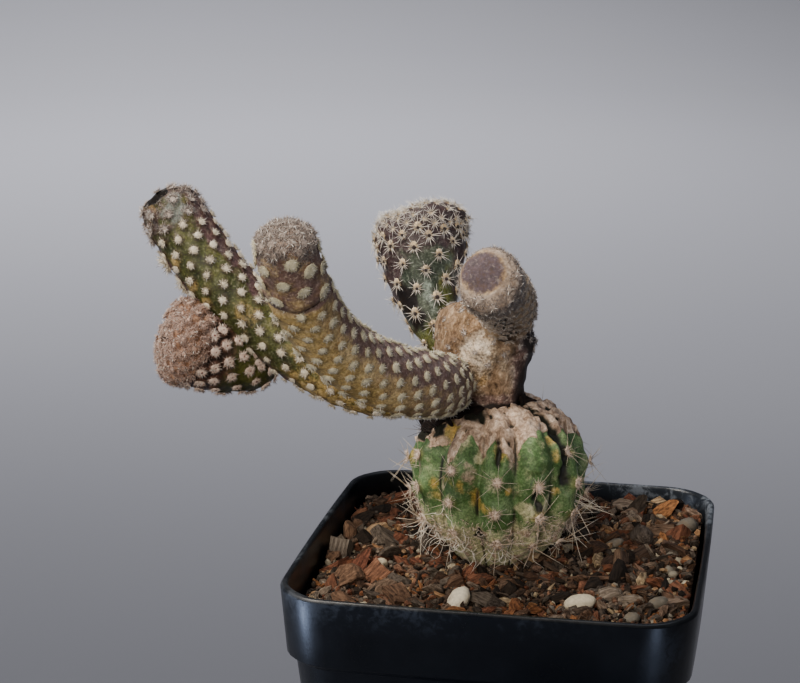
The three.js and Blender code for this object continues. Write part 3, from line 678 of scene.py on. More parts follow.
class Stem:
    def __init__(self, rows, caps):
        rows = np.array(rows, float)
        self.axis = rows[:, :3]
        self.girth = rows[:, 3:]
        self.caps = caps
        self.table = np.linspace(0, 1, 201)
        steps = np.diff(centripetal(self.axis, self.table), axis=0)
        self.arc = np.concatenate([[0], np.cumsum(np.linalg.norm(steps, axis=1))])
        self.length = self.arc[-1]
        self.shares = np.linspace(0, 1, profileSteps + 1)
        at = self.curveShare(self.shares)
        self.tangents = unit(centripetal(self.axis, np.minimum(at + 1e-4, 1))
                             - centripetal(self.axis, np.maximum(at - 1e-4, 0)))
        least = 2 - int(np.argmin(np.abs(self.tangents[0])[::-1]))
        aside = np.cross(self.tangents[0], np.eye(3)[least])
        normal = Vector(unit(np.cross(self.tangents[0], aside)))
        normals = [normal.copy()]
        for low, high in zip(self.tangents, self.tangents[1:]):  # carried along without a twist
            normal.rotate(Vector(low).rotation_difference(Vector(high)))
            normals.append(normal.copy())
        self.normals = np.array(normals)

    def curveShare(self, lengthShare):
        return np.interp(np.asarray(lengthShare) * self.length, self.arc, self.table)

    def profile(self, stretch):  # stretch runs from 0 at the root's pole to 1 at the tip's pole
        along = self.length * (1 - np.cos(np.pi * stretch)) / 2
        radius = centripetal(np.hstack([self.girth, 0 * self.girth]),
                             self.curveShare(along / self.length))[:, 0]
        for distance, cap in ((along, self.caps[0]), (self.length - along, self.caps[1])):
            radius = radius * np.sqrt(1 - (1 - np.clip(distance / cap, 0, 1)) ** 2)
        return along, radius

    def spots(self, stretch, angle):  # points of the skin, with the directions there
        stretch, angle = np.asarray(stretch, float), np.asarray(angle, float)
        along, radius = self.profile(stretch)
        low, high = (self.profile(np.clip(stretch + shift, 0, 1)) for shift in (-0.002, 0.002))
        slope = unit(np.stack([high[0] - low[0], high[1] - low[1]], axis=1))
        share = along / self.length
        tangent, normal = (unit(np.stack([np.interp(share, self.shares, known[:, side])
                                          for side in range(3)], axis=1))
                           for known in (self.tangents, self.normals))
        binormal = np.cross(tangent, normal)
        cosine, sine = np.cos(angle)[:, None], np.sin(angle)[:, None]
        radial = normal * cosine + binormal * sine
        around = binormal * cosine - normal * sine
        upward = tangent * slope[:, :1] + radial * slope[:, 1:]
        centre = centripetal(self.axis, self.curveShare(share))
        return {"point": centre + radial * radius[:, None], "upward": upward, "around": around,
                "outward": np.cross(around, upward), "share": share, "radius": radius,
                "angle": angle, "tangent": tangent}

    def sites(self, spacingAt):  # evenly spread in a golden-angle spiral, as the areoles grow
        stretch = 0.004 + 0.992 * np.arange(profileSteps + 1) / profileSteps
        along, radius = self.profile(stretch)
        slant = np.hypot(np.diff(along), np.diff(radius))
        bands = np.pi * (radius[1:] + radius[:-1]) * slant
        found, count = [], 0
        for step, band in enumerate(bands):
            spacing = spacingAt(along[step + 1] / self.length)
            gained = band / (spacing ** 2 * math.sqrt(3) / 2)
            while count + gained >= len(found) + 0.5:
                found.append(step + (len(found) + 0.5 - count) / gained)
            count += gained
        found = np.array(found)
        return self.spots(0.004 + 0.992 * found / profileSteps, np.arange(len(found)) * goldenAngle)


grown = {name: Stem(stem["rows"], stem["caps"]) for name, stem in stems.items()}


def skinSphere(name, segments, rings):  # a globe whose longitude and latitude become the skin's
    piece = startPiece(name, bpy.ops.mesh.primitive_uv_sphere_add, segments=segments,
                       ring_count=rings, radius=1)
    bpy.ops.object.shade_smooth()
    globe = readPoints(piece.data)
    stretch = np.arccos(np.clip(-globe[:, 2], -1, 1)) / np.pi
    return piece, stretch, np.arctan2(globe[:, 1], globe[:, 0])


def nearestSite(points, sites):  # the distance to the nearest areole
    tree = kdtree.KDTree(len(sites["point"]))
    for index, point in enumerate(sites["point"]):
        tree.insert(point, index)
    tree.balance()
    return np.array([tree.find(point)[2] for point in points])


def pick(sites, chosen):
    return {key: values[chosen] for key, values in sites.items()}


def insideStems(points, names, room):  # whether a point lies in or next to these stems
    inside = np.zeros(len(points), bool)
    for name in names:
        stem = grown[name]
        stretch = np.linspace(0.01, 0.99, 90)
        along, radius = stem.profile(stretch)
        centre = centripetal(stem.axis, stem.curveShare(along / stem.length))
        gap = np.linalg.norm(points[:, None] - centre[None], axis=2) - radius[None]
        inside |= gap.min(axis=1) < room
    return inside


# Patterns that are copied hundreds of times: modelled once, with few faces

def patternFrom(piece):  # points and triangles of a finished model, which is then removed
    editMode(True)
    bpy.ops.mesh.select_all(action="SELECT")
    bpy.ops.mesh.remove_doubles(threshold=1e-5)
    bpy.ops.mesh.normals_make_consistent(inside=False)
    bpy.ops.mesh.quads_convert_to_tris()
    editMode(False)
    points = readPoints(piece.data)
    faces = np.array([list(face.vertices) for face in piece.data.polygons])
    bpy.data.objects.remove(piece)
    return points, faces


def modelNeedle():  # one unit long along Z and one unit in radius, slightly bent towards +X
    piece = startPiece("needle", bpy.ops.mesh.primitive_circle_add, vertices=3, radius=1,
                       fill_type="NGON")
    editMode(True)
    for rise, aside, width in ((0.45, 0.02, 0.8), (0.55, 0.1, 0.0001)):
        bpy.ops.mesh.extrude_region_move(TRANSFORM_OT_translate={"value": (aside, 0, rise)})
        bpy.ops.transform.resize(value=(width, width, 1))
    return patternFrom(piece)


def modelHair():  # the finest hair: a foot and three sides
    piece = startPiece("hair", bpy.ops.mesh.primitive_cone_add, vertices=3, radius1=1, radius2=0,
                       depth=1)
    editMode(True)
    bpy.ops.mesh.select_all(action="SELECT")
    bpy.ops.transform.translate(value=(0, 0, 0.5))
    return patternFrom(piece)


def modelPad():  # a woolly cushion, one unit in radius, flat below and bumpy above
    piece = startPiece("pad", bpy.ops.mesh.primitive_uv_sphere_add, segments=9, ring_count=5,
                       radius=1)
    selectWhere(piece, lambda vert: vert.co.z < -0.1)
    bpy.ops.transform.resize(value=(0.7, 0.7, 0.4), center_override=(0, 0, 0))
    bpy.ops.mesh.select_all(action="SELECT")
    bpy.ops.transform.vertex_random(offset=0.16, seed=5)
    return patternFrom(piece)


def splitFaces(seed, slices, near, far, flat):  # in edit mode: plane breaks, cut off at random
    draw = np.random.default_rng(seed)
    for _ in range(slices):
        away = unit(draw.normal(size=3) * (1, 1, flat))
        bpy.ops.mesh.select_all(action="SELECT")
        bpy.ops.mesh.bisect(plane_co=away * draw.uniform(near, far), plane_no=away,
                            use_fill=True, clear_outer=True)


def modelChip(seed, slices):  # a broken flake, one unit long: a block with its corners split off
    piece = startPiece("chip", bpy.ops.mesh.primitive_cube_add, size=1)
    editMode(True)
    bpy.ops.mesh.select_all(action="SELECT")
    bpy.ops.mesh.subdivide(number_cuts=2, fractal=0.5, fractal_along_normal=0.3, seed=seed)
    bpy.ops.transform.vertex_random(offset=0.05, seed=seed)
    splitFaces(seed, slices, 0.36, 0.46, 0.5)
    return patternFrom(piece)


def modelCrumb(seed, roundness=1, rough=0.14, radius=0.5, slices=0):  # a lump, one unit long
    piece = startPiece("crumb", bpy.ops.mesh.primitive_ico_sphere_add, subdivisions=roundness,
                       radius=radius)
    editMode(True)
    bpy.ops.transform.vertex_random(offset=rough, seed=seed)
    splitFaces(seed, slices, 0.26, 0.42, 0.7)
    return patternFrom(piece)


def modelFlake(seed, slices):  # a broken lump with a few split faces
    return modelCrumb(seed, roundness=2, rough=0.13, radius=0.62, slices=slices)


def copied(pattern, places, across, aside, up):  # every copy of the pattern, in one set of points
    shape, faces = pattern
    points = (places[:, None] + shape[None, :, :1] * across[:, None]
              + shape[None, :, 1:2] * aside[:, None] + shape[None, :, 2:] * up[:, None])
    shifts = np.arange(len(places))[:, None, None] * len(shape)
    return points.reshape(-1, 3), (faces[None] + shifts).reshape(-1, 3)


def joined(sets):  # several sets of points, faces and tints as one
    points, faces, tints = zip(*sets)
    starts = np.cumsum([0] + [len(some) for some in points[:-1]])
    return (np.vstack(points), np.vstack([some + start for some, start in zip(faces, starts)]),
            np.concatenate(tints))


needle = modelNeedle()
hair = modelHair()
pad = modelPad()


def padCopies(sites, look, draw):  # a cushion of wool on each areole
    count = len(sites["point"])
    size = look["wide"] / 2 * draw.uniform(0.85, 1.15, (count, 1))
    size = size * sites.get("scale", np.ones(count))[:, None]
    turn = draw.uniform(0, 2 * np.pi, (count, 1))
    across = sites["around"] * np.cos(turn) + sites["upward"] * np.sin(turn)
    aside = sites["upward"] * np.cos(turn) - sites["around"] * np.sin(turn)
    long = look.get("long", 1)
    if long != 1:
        across, aside = sites["around"], sites["upward"] * long
    place = (sites["point"] + sites["outward"] * look["raise"]
             + sites["upward"] * look.get("shift", 0))
    points, faces = copied(pad, place, across * size, aside * size,
                           sites["outward"] * size * look["high"])
    tone = np.tile(np.clip(pad[0][:, 2] * 4 - 3, 0, 1) * look.get("centre", 0), count)
    return points, faces, tone


def needleCopies(sites, look, draw):  # spines or hairs that spread from each areole
    count = look.get("count", 1)
    base = {key: np.repeat(values, count, axis=0) for key, values in sites.items()}
    total = len(base["point"])
    step = np.tile(np.arange(count), len(sites["point"]))
    first = np.repeat(draw.uniform(0, 2 * np.pi, len(sites["point"])), count)
    bearing = first + (step + draw.uniform(-0.35, 0.35, total)) / count * 2 * np.pi
    towards = (base["around"] * np.cos(bearing)[:, None] + base["upward"] * np.sin(bearing)[:, None])
    towards = unit(towards - base["upward"] * look.get("rootward", 0))
    lean = look["lean"] + draw.uniform(-1, 1, total) * look.get("leanVary", 0.15)
    length = look["length"] * (1 + draw.uniform(-1, 1, total) * look.get("lengthVary", 0.2))
    scale = base.get("scale", np.ones(total))
    length = (length * scale)[:, None]
    up = unit(base["outward"] * np.cos(lean)[:, None] + towards * np.sin(lean)[:, None])
    sideways = unit(np.cross(up, base["outward"] + 0.01 * towards))
    droop = np.cross(sideways, up)
    width = look["width"] / 2 * scale[:, None]
    out = look["spread"] * np.sqrt(draw.uniform(0.1, 1, total))
    place = (base["point"] + base["outward"] * (look["raise"] * scale)[:, None]
             + towards * (out * scale)[:, None])
    shape, faces = hair if look.get("fine") else needle
    points, faces = copied((shape, faces), place, -droop * width, sideways * width, up * length)
    tone = np.tile((1 - shape[:, 2]) * look.get("rootTone", 1), total)
    return points, faces, tone


def tufts(name, sets, material, slot, node):
    points, faces, tone = joined(sets)
    piece = meshPiece(name, points, faces)
    addTint(piece.data, "tone", tone)
    return seat(piece, material, slot, node)


def lifted(spots, lift):  # the points of the spots, moved outward
    return spots["point"] + spots["outward"] * lift[:, None]


def skinLift(spots, sites, look, tints, reshape):  # how far the skin stands out, and its tints
    point = spots["point"]
    distance = nearestSite(point, sites)
    inDense = spots["share"] > look.get("denseFrom", 2)
    high = np.where(inDense, look.get("denseMound", 0), look["mound"])
    mound = np.clip(1 - (distance / look["moundReach"]) ** 2, 0, 1) ** 2 * high
    if "disc" in look:  # the flat end of a club has no mounds
        mound = mound * smoothStep(discDistance(spots, look["disc"]), 1, 1.25)
    sway = lumps(point, 9, 3) * look["sway"] + lumps(point, 2.2, 4) * look["pucker"]
    spots["distance"] = distance
    values = tints(spots)
    lift = mound + sway
    return (reshape(spots, lift, values) if reshape else lift), values


def discDistance(spots, disc):  # from the middle of a club's flat end: 1 at its rim
    away = np.linalg.norm(spots["point"] - np.array(disc["centre"]), axis=1) / disc["radius"]
    return np.where(spots["share"] > 0.85, away, 9)


def skinPiece(name, stemName, sites, look, tints, material, slot, node, reshape=None):
    piece, stretch, angle = skinSphere(name, *look["mesh"])
    spots = grown[stemName].spots(stretch, angle)
    lift, values = skinLift(spots, sites, look, tints, reshape)
    writePoints(piece.data, lifted(spots, lift) * mm)
    for key in ("blush", "ripe", "bloom", "cork", "deep"):
        addTint(piece.data, key, values.get(key, np.zeros(len(stretch))))
    addTint(piece.data, "areole", spots["distance"])
    return seat(piece, material, slot, node)


def paint(values, tint, far, weight, ragged):  # a patch with a broken edge: far is 1 at its rim
    patch = smoothStep(far + 0.4 * ragged, 1.5, 0.3)
    values[tint] = np.clip(values.get(tint, np.zeros(len(far))) + weight * patch, 0, 1)


def paintAll(values, spots, marks):
    ragged = lumps(spots["point"], 1.3, 41)
    for tint, patches in marks.items():
        for centre, size, weight in patches:
            far = np.linalg.norm((spots["point"] - np.array(centre)) / np.array(size), axis=1)
            paint(values, tint, far, weight, ragged)
    return values


def skinSpots(stem, places):  # the spots of a skin nearest to these points
    stretch, angle = np.meshgrid(np.linspace(0.02, 0.98, 200), np.linspace(0, 2 * np.pi, 90))
    spots = stem.spots(stretch.ravel(), angle.ravel())
    nearest = [np.argmin(np.linalg.norm(spots["point"] - np.array(place), axis=1))
               for place in places]
    return pick(spots, nearest)


def facing(spots, *direction):  # 1 where the skin faces this way, -1 where it faces away
    return spots["outward"] @ unit(np.array(direction, float))


def scattered(stem, count, low, high, draw):  # random spots of the skin between two shares
    stretch = np.linspace(0, 1, 721)
    along, radius = stem.profile(stretch)
    share = along / stem.length
    band = (radius[1:] + radius[:-1]) * np.hypot(np.diff(along), np.diff(radius))
    band = band * ((share[1:] > low) & (share[:-1] < high))
    total = np.concatenate([[0], np.cumsum(band)])
    found = np.interp(draw.uniform(0, total[-1], count), total, stretch)
    return stem.spots(found, draw.uniform(0, 2 * np.pi, count))


# Scion: arms, buds and clubs. Marks are listed by tint: centre, half sizes and weight

leftArmMarks = {
    "bloom": [((-66.6, 5.9, 136.3), (2.2, 3, 2.6), 0.8), ((-58.5, 8, 127.5), (3, 5, 3), 0.3)],
    # a small painted shade mark near the tip
    "deep": [((-64.6, 6.2, 137.4), (1.1, 2, 1), 1)],
    "ripe": [((-71.2, 6.6, 135.4), (1, 2.4, 2.2), 0.9), ((-66.6, 5.5, 126), (1.6, 4, 1.6), 0.7),
             ((-62.8, 5, 121.6), (1.8, 4, 1.6), 0.7), ((-60, 5, 118.6), (1.6, 4, 1.4), 0.6),
             ((-52, 4, 116.5), (3, 4, 3), 0.5)],
}


def leftArmTints(spots):
    across = unit(np.cross(spots["tangent"], np.array([0, 1.0, 0])))
    edge = np.sum(across * spots["outward"], axis=1)
    patch = lumps(spots["point"], 4, 17)
    small = lumps(spots["point"], 1.6, 18)
    tip = smoothStep(spots["share"], 0.8, 0.97)
    low = smoothStep(spots["share"] + 0.08 * patch, 0.56, 0.4)
    values = {"blush": np.maximum(smoothStep(np.abs(edge) + 0.2 * patch + 0.15 * small, 0.55, 1.0),
                                  tip * (0.65 + 0.5 * small)),
              "ripe": low * (0.75 + 0.4 * small), "bloom": 0.5 * tip * smoothStep(small, -0.3, 0.4),
              # painted shade: the underside darker
              "deep": smoothStep(-spots["outward"][:, 2], 0.7, 1.1) * 0.4}
    values["blush"] = values["blush"] * (1 - 0.6 * low)
    return paintAll(values, spots, leftArmMarks)


def frontArmTints(spots):  # mauve above, olive brown in front; painted shade darkens it below and at both ends
    shoulder = facing(spots, 0.45, -0.1, 0.85)
    patch = lumps(spots["point"], 4, 17)
    low = smoothStep(spots["share"], 0.55, 0.25)
    return {"blush": np.maximum(smoothStep(shoulder + 0.25 * patch, 0.1, 0.75), 0.25 + 0.4 * low),
            # partly its own wax bloom, partly a painted highlight on the top
            "bloom": 0.5 * smoothStep(shoulder, 0.5, 1.0),
            "ripe": 0.6 * smoothStep(-shoulder + 0.3 * patch, -0.3, 0.2) * (1 - 0.5 * low),
            # painted shade below and at both ends, where it meets the trunk and the tip
            "deep": np.maximum.reduce([smoothStep(-shoulder, 0.45, 1.0) * (0.55 + 0.3 * low),
                                       0.45 * smoothStep(spots["share"], 0.955, 0.99),
                                       0.45 * smoothStep(spots["share"], 0.34, 0.14)])}


def frontTipTints(spots):
    share = spots["share"]
    patch = lumps(spots["point"], 3, 17)
    right = facing(spots, 1, -0.1, 0)
    return {"blush": 0.75 + 0.5 * patch, "ripe": 0.4 * smoothStep(patch, 0, -0.5),
            "cork": smoothStep(share, 0.8, 0.95) * 0.6,
            # painted shade: darker at the root and on the right side
            "deep": np.maximum(0.5 * smoothStep(share, 0.24, 0.1), smoothStep(right, 0.4, 1.0) * 0.4)}


def slimTip(spots, lift, values):  # the tip is a little thinner under its wool
    return lift - 0.75 * smoothStep(spots["share"], 0.1, 0.4)


budMarks = {
    "pit": [((-69.9, 6.4, 113.4), (1.6, 3, 1.3), 1), ((-69.9, 4.4, 111), (1.6, 3, 0.9), 1),
            ((-66.5, 3.5, 116.1), (1.4, 3, 0.8), 1)],
    # painted shade in the pits of the felt, in hollows of the woolly end and where the bud meets the arm
    "deep": [((-67.5, 2.5, 114.3), (1.2, 3, 1), 1), ((-68.6, 2.5, 111.4), (1.1, 3, 1.1), 1),
             ((-68.4, 2.5, 109), (1, 3, 0.8), 0.8), ((-60.5, 4, 114.5), (1, 4, 1), 0.6),
             ((-69.9, 6.4, 113.4), (1.8, 3, 1.3), 1), ((-69.9, 4.4, 111), (1.8, 3, 0.9), 1)],
}


def budTints(spots):
    share = spots["share"]
    patch = lumps(spots["point"], 3, 17)
    groove = smoothStep(spots["distance"], 0.75, 1.5)
    end = smoothStep(share + 0.04 * patch, 0.72, 0.82)
    values = {"blush": smoothStep(share, 0.36, 0.66), "cork": end * 0.95,
              # painted shade between the areoles, on the middle and on the woolly end
              "deep": groove * np.maximum(smoothStep(share, 0.4, 0.62) * (1 - end) * 0.8,
                                          end * (0.75 + 0.3 * patch)),
              "ripe": smoothStep(share, 0.3, 0.05) * 0.25}
    return paintAll(values, spots, budMarks)


def pitted(spots, lift, values):  # dried pits in the felt
    ridge = lumps(spots["point"] * (1, 1, 0.5), 1.7, 33) * smoothStep(spots["share"], 0.7, 0.85)
    return lift - 1.5 * values["pit"] + 0.35 * ridge


clubMarks = {
    # partly real bloom, partly a painted highlight: a pale waxy streak down the front
    "bloom": [((-18.4, 12.6, 121.2), (1.1, 4, 2.6), 0.7), ((-17, 12, 118), (0.8, 4, 2), 0.6),
              ((-15.6, 12, 115.4), (0.8, 4, 1.4), 0.5)],
    # painted shade on the lower left of the club
    "deep": [((-22.5, 14, 119.5), (3, 5, 3.4), 0.9), ((-20, 13, 115.5), (2.6, 5, 3), 1)],
    "ripe": [((-14.6, 14.5, 121), (2, 4, 4.4), 0.9), ((-16, 12.4, 113.6), (1.6, 3, 2.4), 0.8),
             ((-14.5, 16, 128), (1.5, 4, 2), 0.6)],
    "blush": [((-24, 16, 125), (2.4, 5, 4), 0.6)],
}


def clubTints(spots):
    edge = facing(spots, 0.98, 0.2, 0)
    patch = lumps(spots["point"], 4, 19)
    share = spots["share"]
    values = {"blush": np.maximum(smoothStep(np.abs(edge) + 0.2 * patch, 0.55, 0.95) * smoothStep(
                  share, 0.25, 0.5), smoothStep(share + 0.12 * patch, 0.6, 0.82)),
              "bloom": 0.4 * smoothStep(patch, 0.1, 0.6) * smoothStep(share, 0.72, 0.5),
              "ripe": smoothStep(share, 0.34, 0.2)}
    return paintAll(values, spots, clubMarks)


def slantCrown(spots, lift, values):  # the crown's left shoulder lies lower than its right one
    left = 1.2 * smoothStep(spots["outward"] @ np.array([-0.64, -0.1, 0.76]), 0.45, 1.0)
    right = 2.3 * smoothStep(spots["point"][:, 0], -27, -15) * smoothStep(spots["share"], 0.75, 0.95)
    return lift - left + right * np.clip(spots["outward"][:, 2], 0, 1)


rightClubDisc = {"centre": (0.9, -44.4, 138.4), "radius": 4.8}


def narrowClub(spots, lift, values):  # a little thinner on the left and above
    side = facing(spots, -1, 0, 0.25)
    return lift - 0.9 * smoothStep(side, 0.2, 1.0) * smoothStep(spots["share"], 0.3, 0.6)


def rightClubTints(spots):
    shoulder = facing(spots, 0, 0, 1)
    patch = lumps(spots["point"], 4, 17)
    share = spots["share"]
    disc = smoothStep(discDistance(spots, rightClubDisc) + 0.1 * patch, 1.2, 0.6)
    under = smoothStep(-shoulder + 0.15 * patch, 0.62, 1.0)
    return {"blush": disc, "bloom": 0.4 * smoothStep(spots["distance"], 1.4, 0.5) * (1 - disc),
            "cork": smoothStep(share, 0.82, 0.94) * (1 - disc) * 0.8,
            # painted shade: near black underneath
            "deep": under * 0.9 * smoothStep(share, 0.97, 0.9)}


trunkMarks = {
    # painted highlight: the two large pale cream patches on the front left, where the light falls; the
    # small one is a pale spot of the cork
    "bloom": [((-6.2, -1.7, 112), (5, 4, 6), 0.45), ((-6.4, -1.8, 113.6), (2.4, 3, 4), 0.5),
              ((-0.5, -0.6, 112), (1.5, 3, 2.4), 0.4)],
    # less cork under the painted highlight and under two yellow-orange patches
    "cork": [((-6.2, -1.8, 112), (5, 4, 6), -0.45), ((-8.4, -1.8, 110.2), (1.7, 3, 1.6), -0.6),
             ((-5.4, -1.2, 107.6), (1.5, 3, 1.4), -0.4)],
    "ripe": [((-8.6, -1.8, 110.2), (2, 3, 1.9), 0.9), ((-5.4, -1.2, 107.6), (2, 3, 1.8), 0.6)],
    "blush": [((-12, 1, 115.4), (3.4, 5, 4.4), 0.8), ((-3.4, -1, 106), (2, 3, 2), 0.5)],
    # painted shade in the crease by the front arm's root
    "deep": [((-9.8, 0, 106.5), (1.6, 4, 4), 0.9)],
}


def trunkTints(spots):
    right = facing(spots, 1, 0.15, -0.1)
    height = spots["point"][:, 2]
    patch = lumps(spots["point"], 3.2, 8)
    streak = lumps(spots["point"] * (1, 1, 0.5), 1.8, 9)
    values = {"cork": 0.75 + 0.3 * patch, "bloom": 0.5 * smoothStep(streak, 0.1, 0.5),
              "ripe": 0.1 + 0.4 * streak,
              "blush": np.maximum(smoothStep(height + 1.5 * patch, 106.5, 103),
                                  smoothStep(right, 0.3, 0.8)),
              # painted shade down the right side under the right club and at the foot by the graft; also
              # darker streaks
              "deep": np.maximum.reduce([smoothStep(right + 0.25 * patch, 0.45, 0.95) * 0.8,
                                         smoothStep(height + 0.8 * streak, 103.6, 102.2),
                                         0.6 * smoothStep(streak, -0.2, -0.55)])}
    values["cork"] = values["cork"] * (1 - 0.7 * values["blush"])
    return paintAll(values, spots, trunkMarks)


scar = {"centre": (-71.7, 9, 138.9), "radius": 3, "ragged": 0.8, "lip": 0.35}


def scarTip(spots, lift, values):  # the dried crater near the left arm's tip, painted near black inside as shade
    away = spots["point"] - np.array(scar["centre"])
    far = np.linalg.norm(away, axis=1)
    edge = scar["radius"] + scar["ragged"] * lumps(spots["point"], 1.3, 12)
    inside = far < edge
    dot = np.sum(away * spots["outward"], axis=1)
    sink = dot + np.sqrt(np.maximum(dot ** 2 - far ** 2 + edge ** 2, 0))
    lip = scar["lip"] * np.clip(1 - np.abs(far - edge - 0.3) / 0.8, 0, 1)
    # painted shade: near black inside the crater and darker round its edge
    values["deep"] = np.where(inside, 1.0, values["deep"])
    values["deep"] = np.maximum(values["deep"], smoothStep(far - edge, 0.7, 0.1))
    low = smoothStep(away[:, 0], -1, -2.6) * smoothStep(away[:, 2], 0.6, -0.4)  # fresh cork, lower left
    values["cork"] = np.where(inside, 1, low * smoothStep(far - edge, 2.2, 0.8))  # corky, so matt
    values["deep"] = np.where(inside, 1, values["deep"] * (1 - low))
    return np.where(inside, -np.minimum(sink, 3.6), lift + lip)


segments = {
    "leftArm": {
        "node": "scion_left_arm", "slot": "arm_skin", "skin": "arm", "tints": leftArmTints,
        "mesh": (96, 200), "reshape": scarTip,
        "bare": ["trunk", "leftBud"], "wool": "arm", "woolFinish": "cream", "denseFrom": 0.9,
        "dense": "armEnd", "denseFinish": "grey",
        "extra": [((-69, 8.5, 125), 2.4), ((-65.8, 9, 120.2), 2), ((-71.5, 9, 130.5), 1.6)],
        "felt": ["armTip"],
    },
    "frontArm": {
        "node": "scion_front_arm", "slot": "arm_skin", "skin": "front", "tints": frontArmTints,
        "mesh": (96, 160), "bare": ["trunk", "leftArm"], "wool": "front", "woolFinish": "front",
    },
    "frontTip": {
        "node": "scion_front_tip", "slot": "arm_skin", "skin": "front", "tints": frontTipTints,
        "mesh": (96, 80), "spacing": lambda share: 2.4 if share > 0.8 else 4.2, "reshape": slimTip,
        "bare": ["frontArm"], "wool": "tip", "woolFinish": "front", "denseFrom": 0.78,
        "dense": "tipEnd", "denseFinish": "dusk", "felt": ["frontTip"],
    },
    "leftBud": {
        "node": "scion_left_bud", "slot": "bud_wool", "skin": "bud", "tints": budTints,
        "mesh": (120, 120), "reshape": pitted,
        "spacing": lambda share: 2.3 if share > 0.78 else 3 if share > 0.6 else 3.5,
        "bare": ["leftArm"], "wool": "bud", "woolFinish": "pink", "denseFrom": 0.78, "denseMound": 0.8,
        "dense": "budEnd", "denseFinish": "felt", "felt": ["budEnd"],
        "extra": [((-49, 9, 104.2), 0.9), ((-49.6, 6.5, 105.2), 0.8), ((-49.4, 5.4, 106.8), 0.75),
                  ((-49.6, 5, 108.3), 0.7), ((-50, 5.2, 109.6), 0.6)],
    },
    "backClub": {
        "node": "scion_back_club", "slot": "club_skin", "skin": "club", "tints": clubTints,
        "mesh": (112, 130),
        "spacing": lambda share: 4.6 - 2.6 * float(smoothStep(share, 0.68, 0.9)),
        "reshape": slantCrown,
        "bare": ["trunk", "leftArm"], "wool": "club", "woolFinish": "club", "denseFrom": 0.84,
        "dense": "clubCrown", "denseFinish": "club",
    },
    "rightClub": {
        "node": "scion_right_club", "slot": "bud_wool", "skin": "woollyClub", "tints": rightClubTints,
        "mesh": (96, 170), "spacing": lambda share: 2.6 if share > 0.9 else 3.35,
        "bare": ["trunk"], "wool": "side", "woolFinish": "tan", "denseFrom": 0.9, "mound": 0.12,
        "dense": "clubEnd", "denseFinish": "dusk", "felt": ["clubRing"], "disc": rightClubDisc,
        "reshape": narrowClub,
    },
    "trunk": {
        "node": "scion_trunk", "slot": "trunk_cork", "skin": "trunk", "tints": trunkTints,
        "mesh": (120, 110), "spacing": lambda share: 3.8, "pucker": 0.3,
        "bare": ["frontArm", "leftArm", "rightClub", "stock"], "wool": "trunk",
        "woolFinish": "grey", "felt": ["trunkScurf"],
    },
}

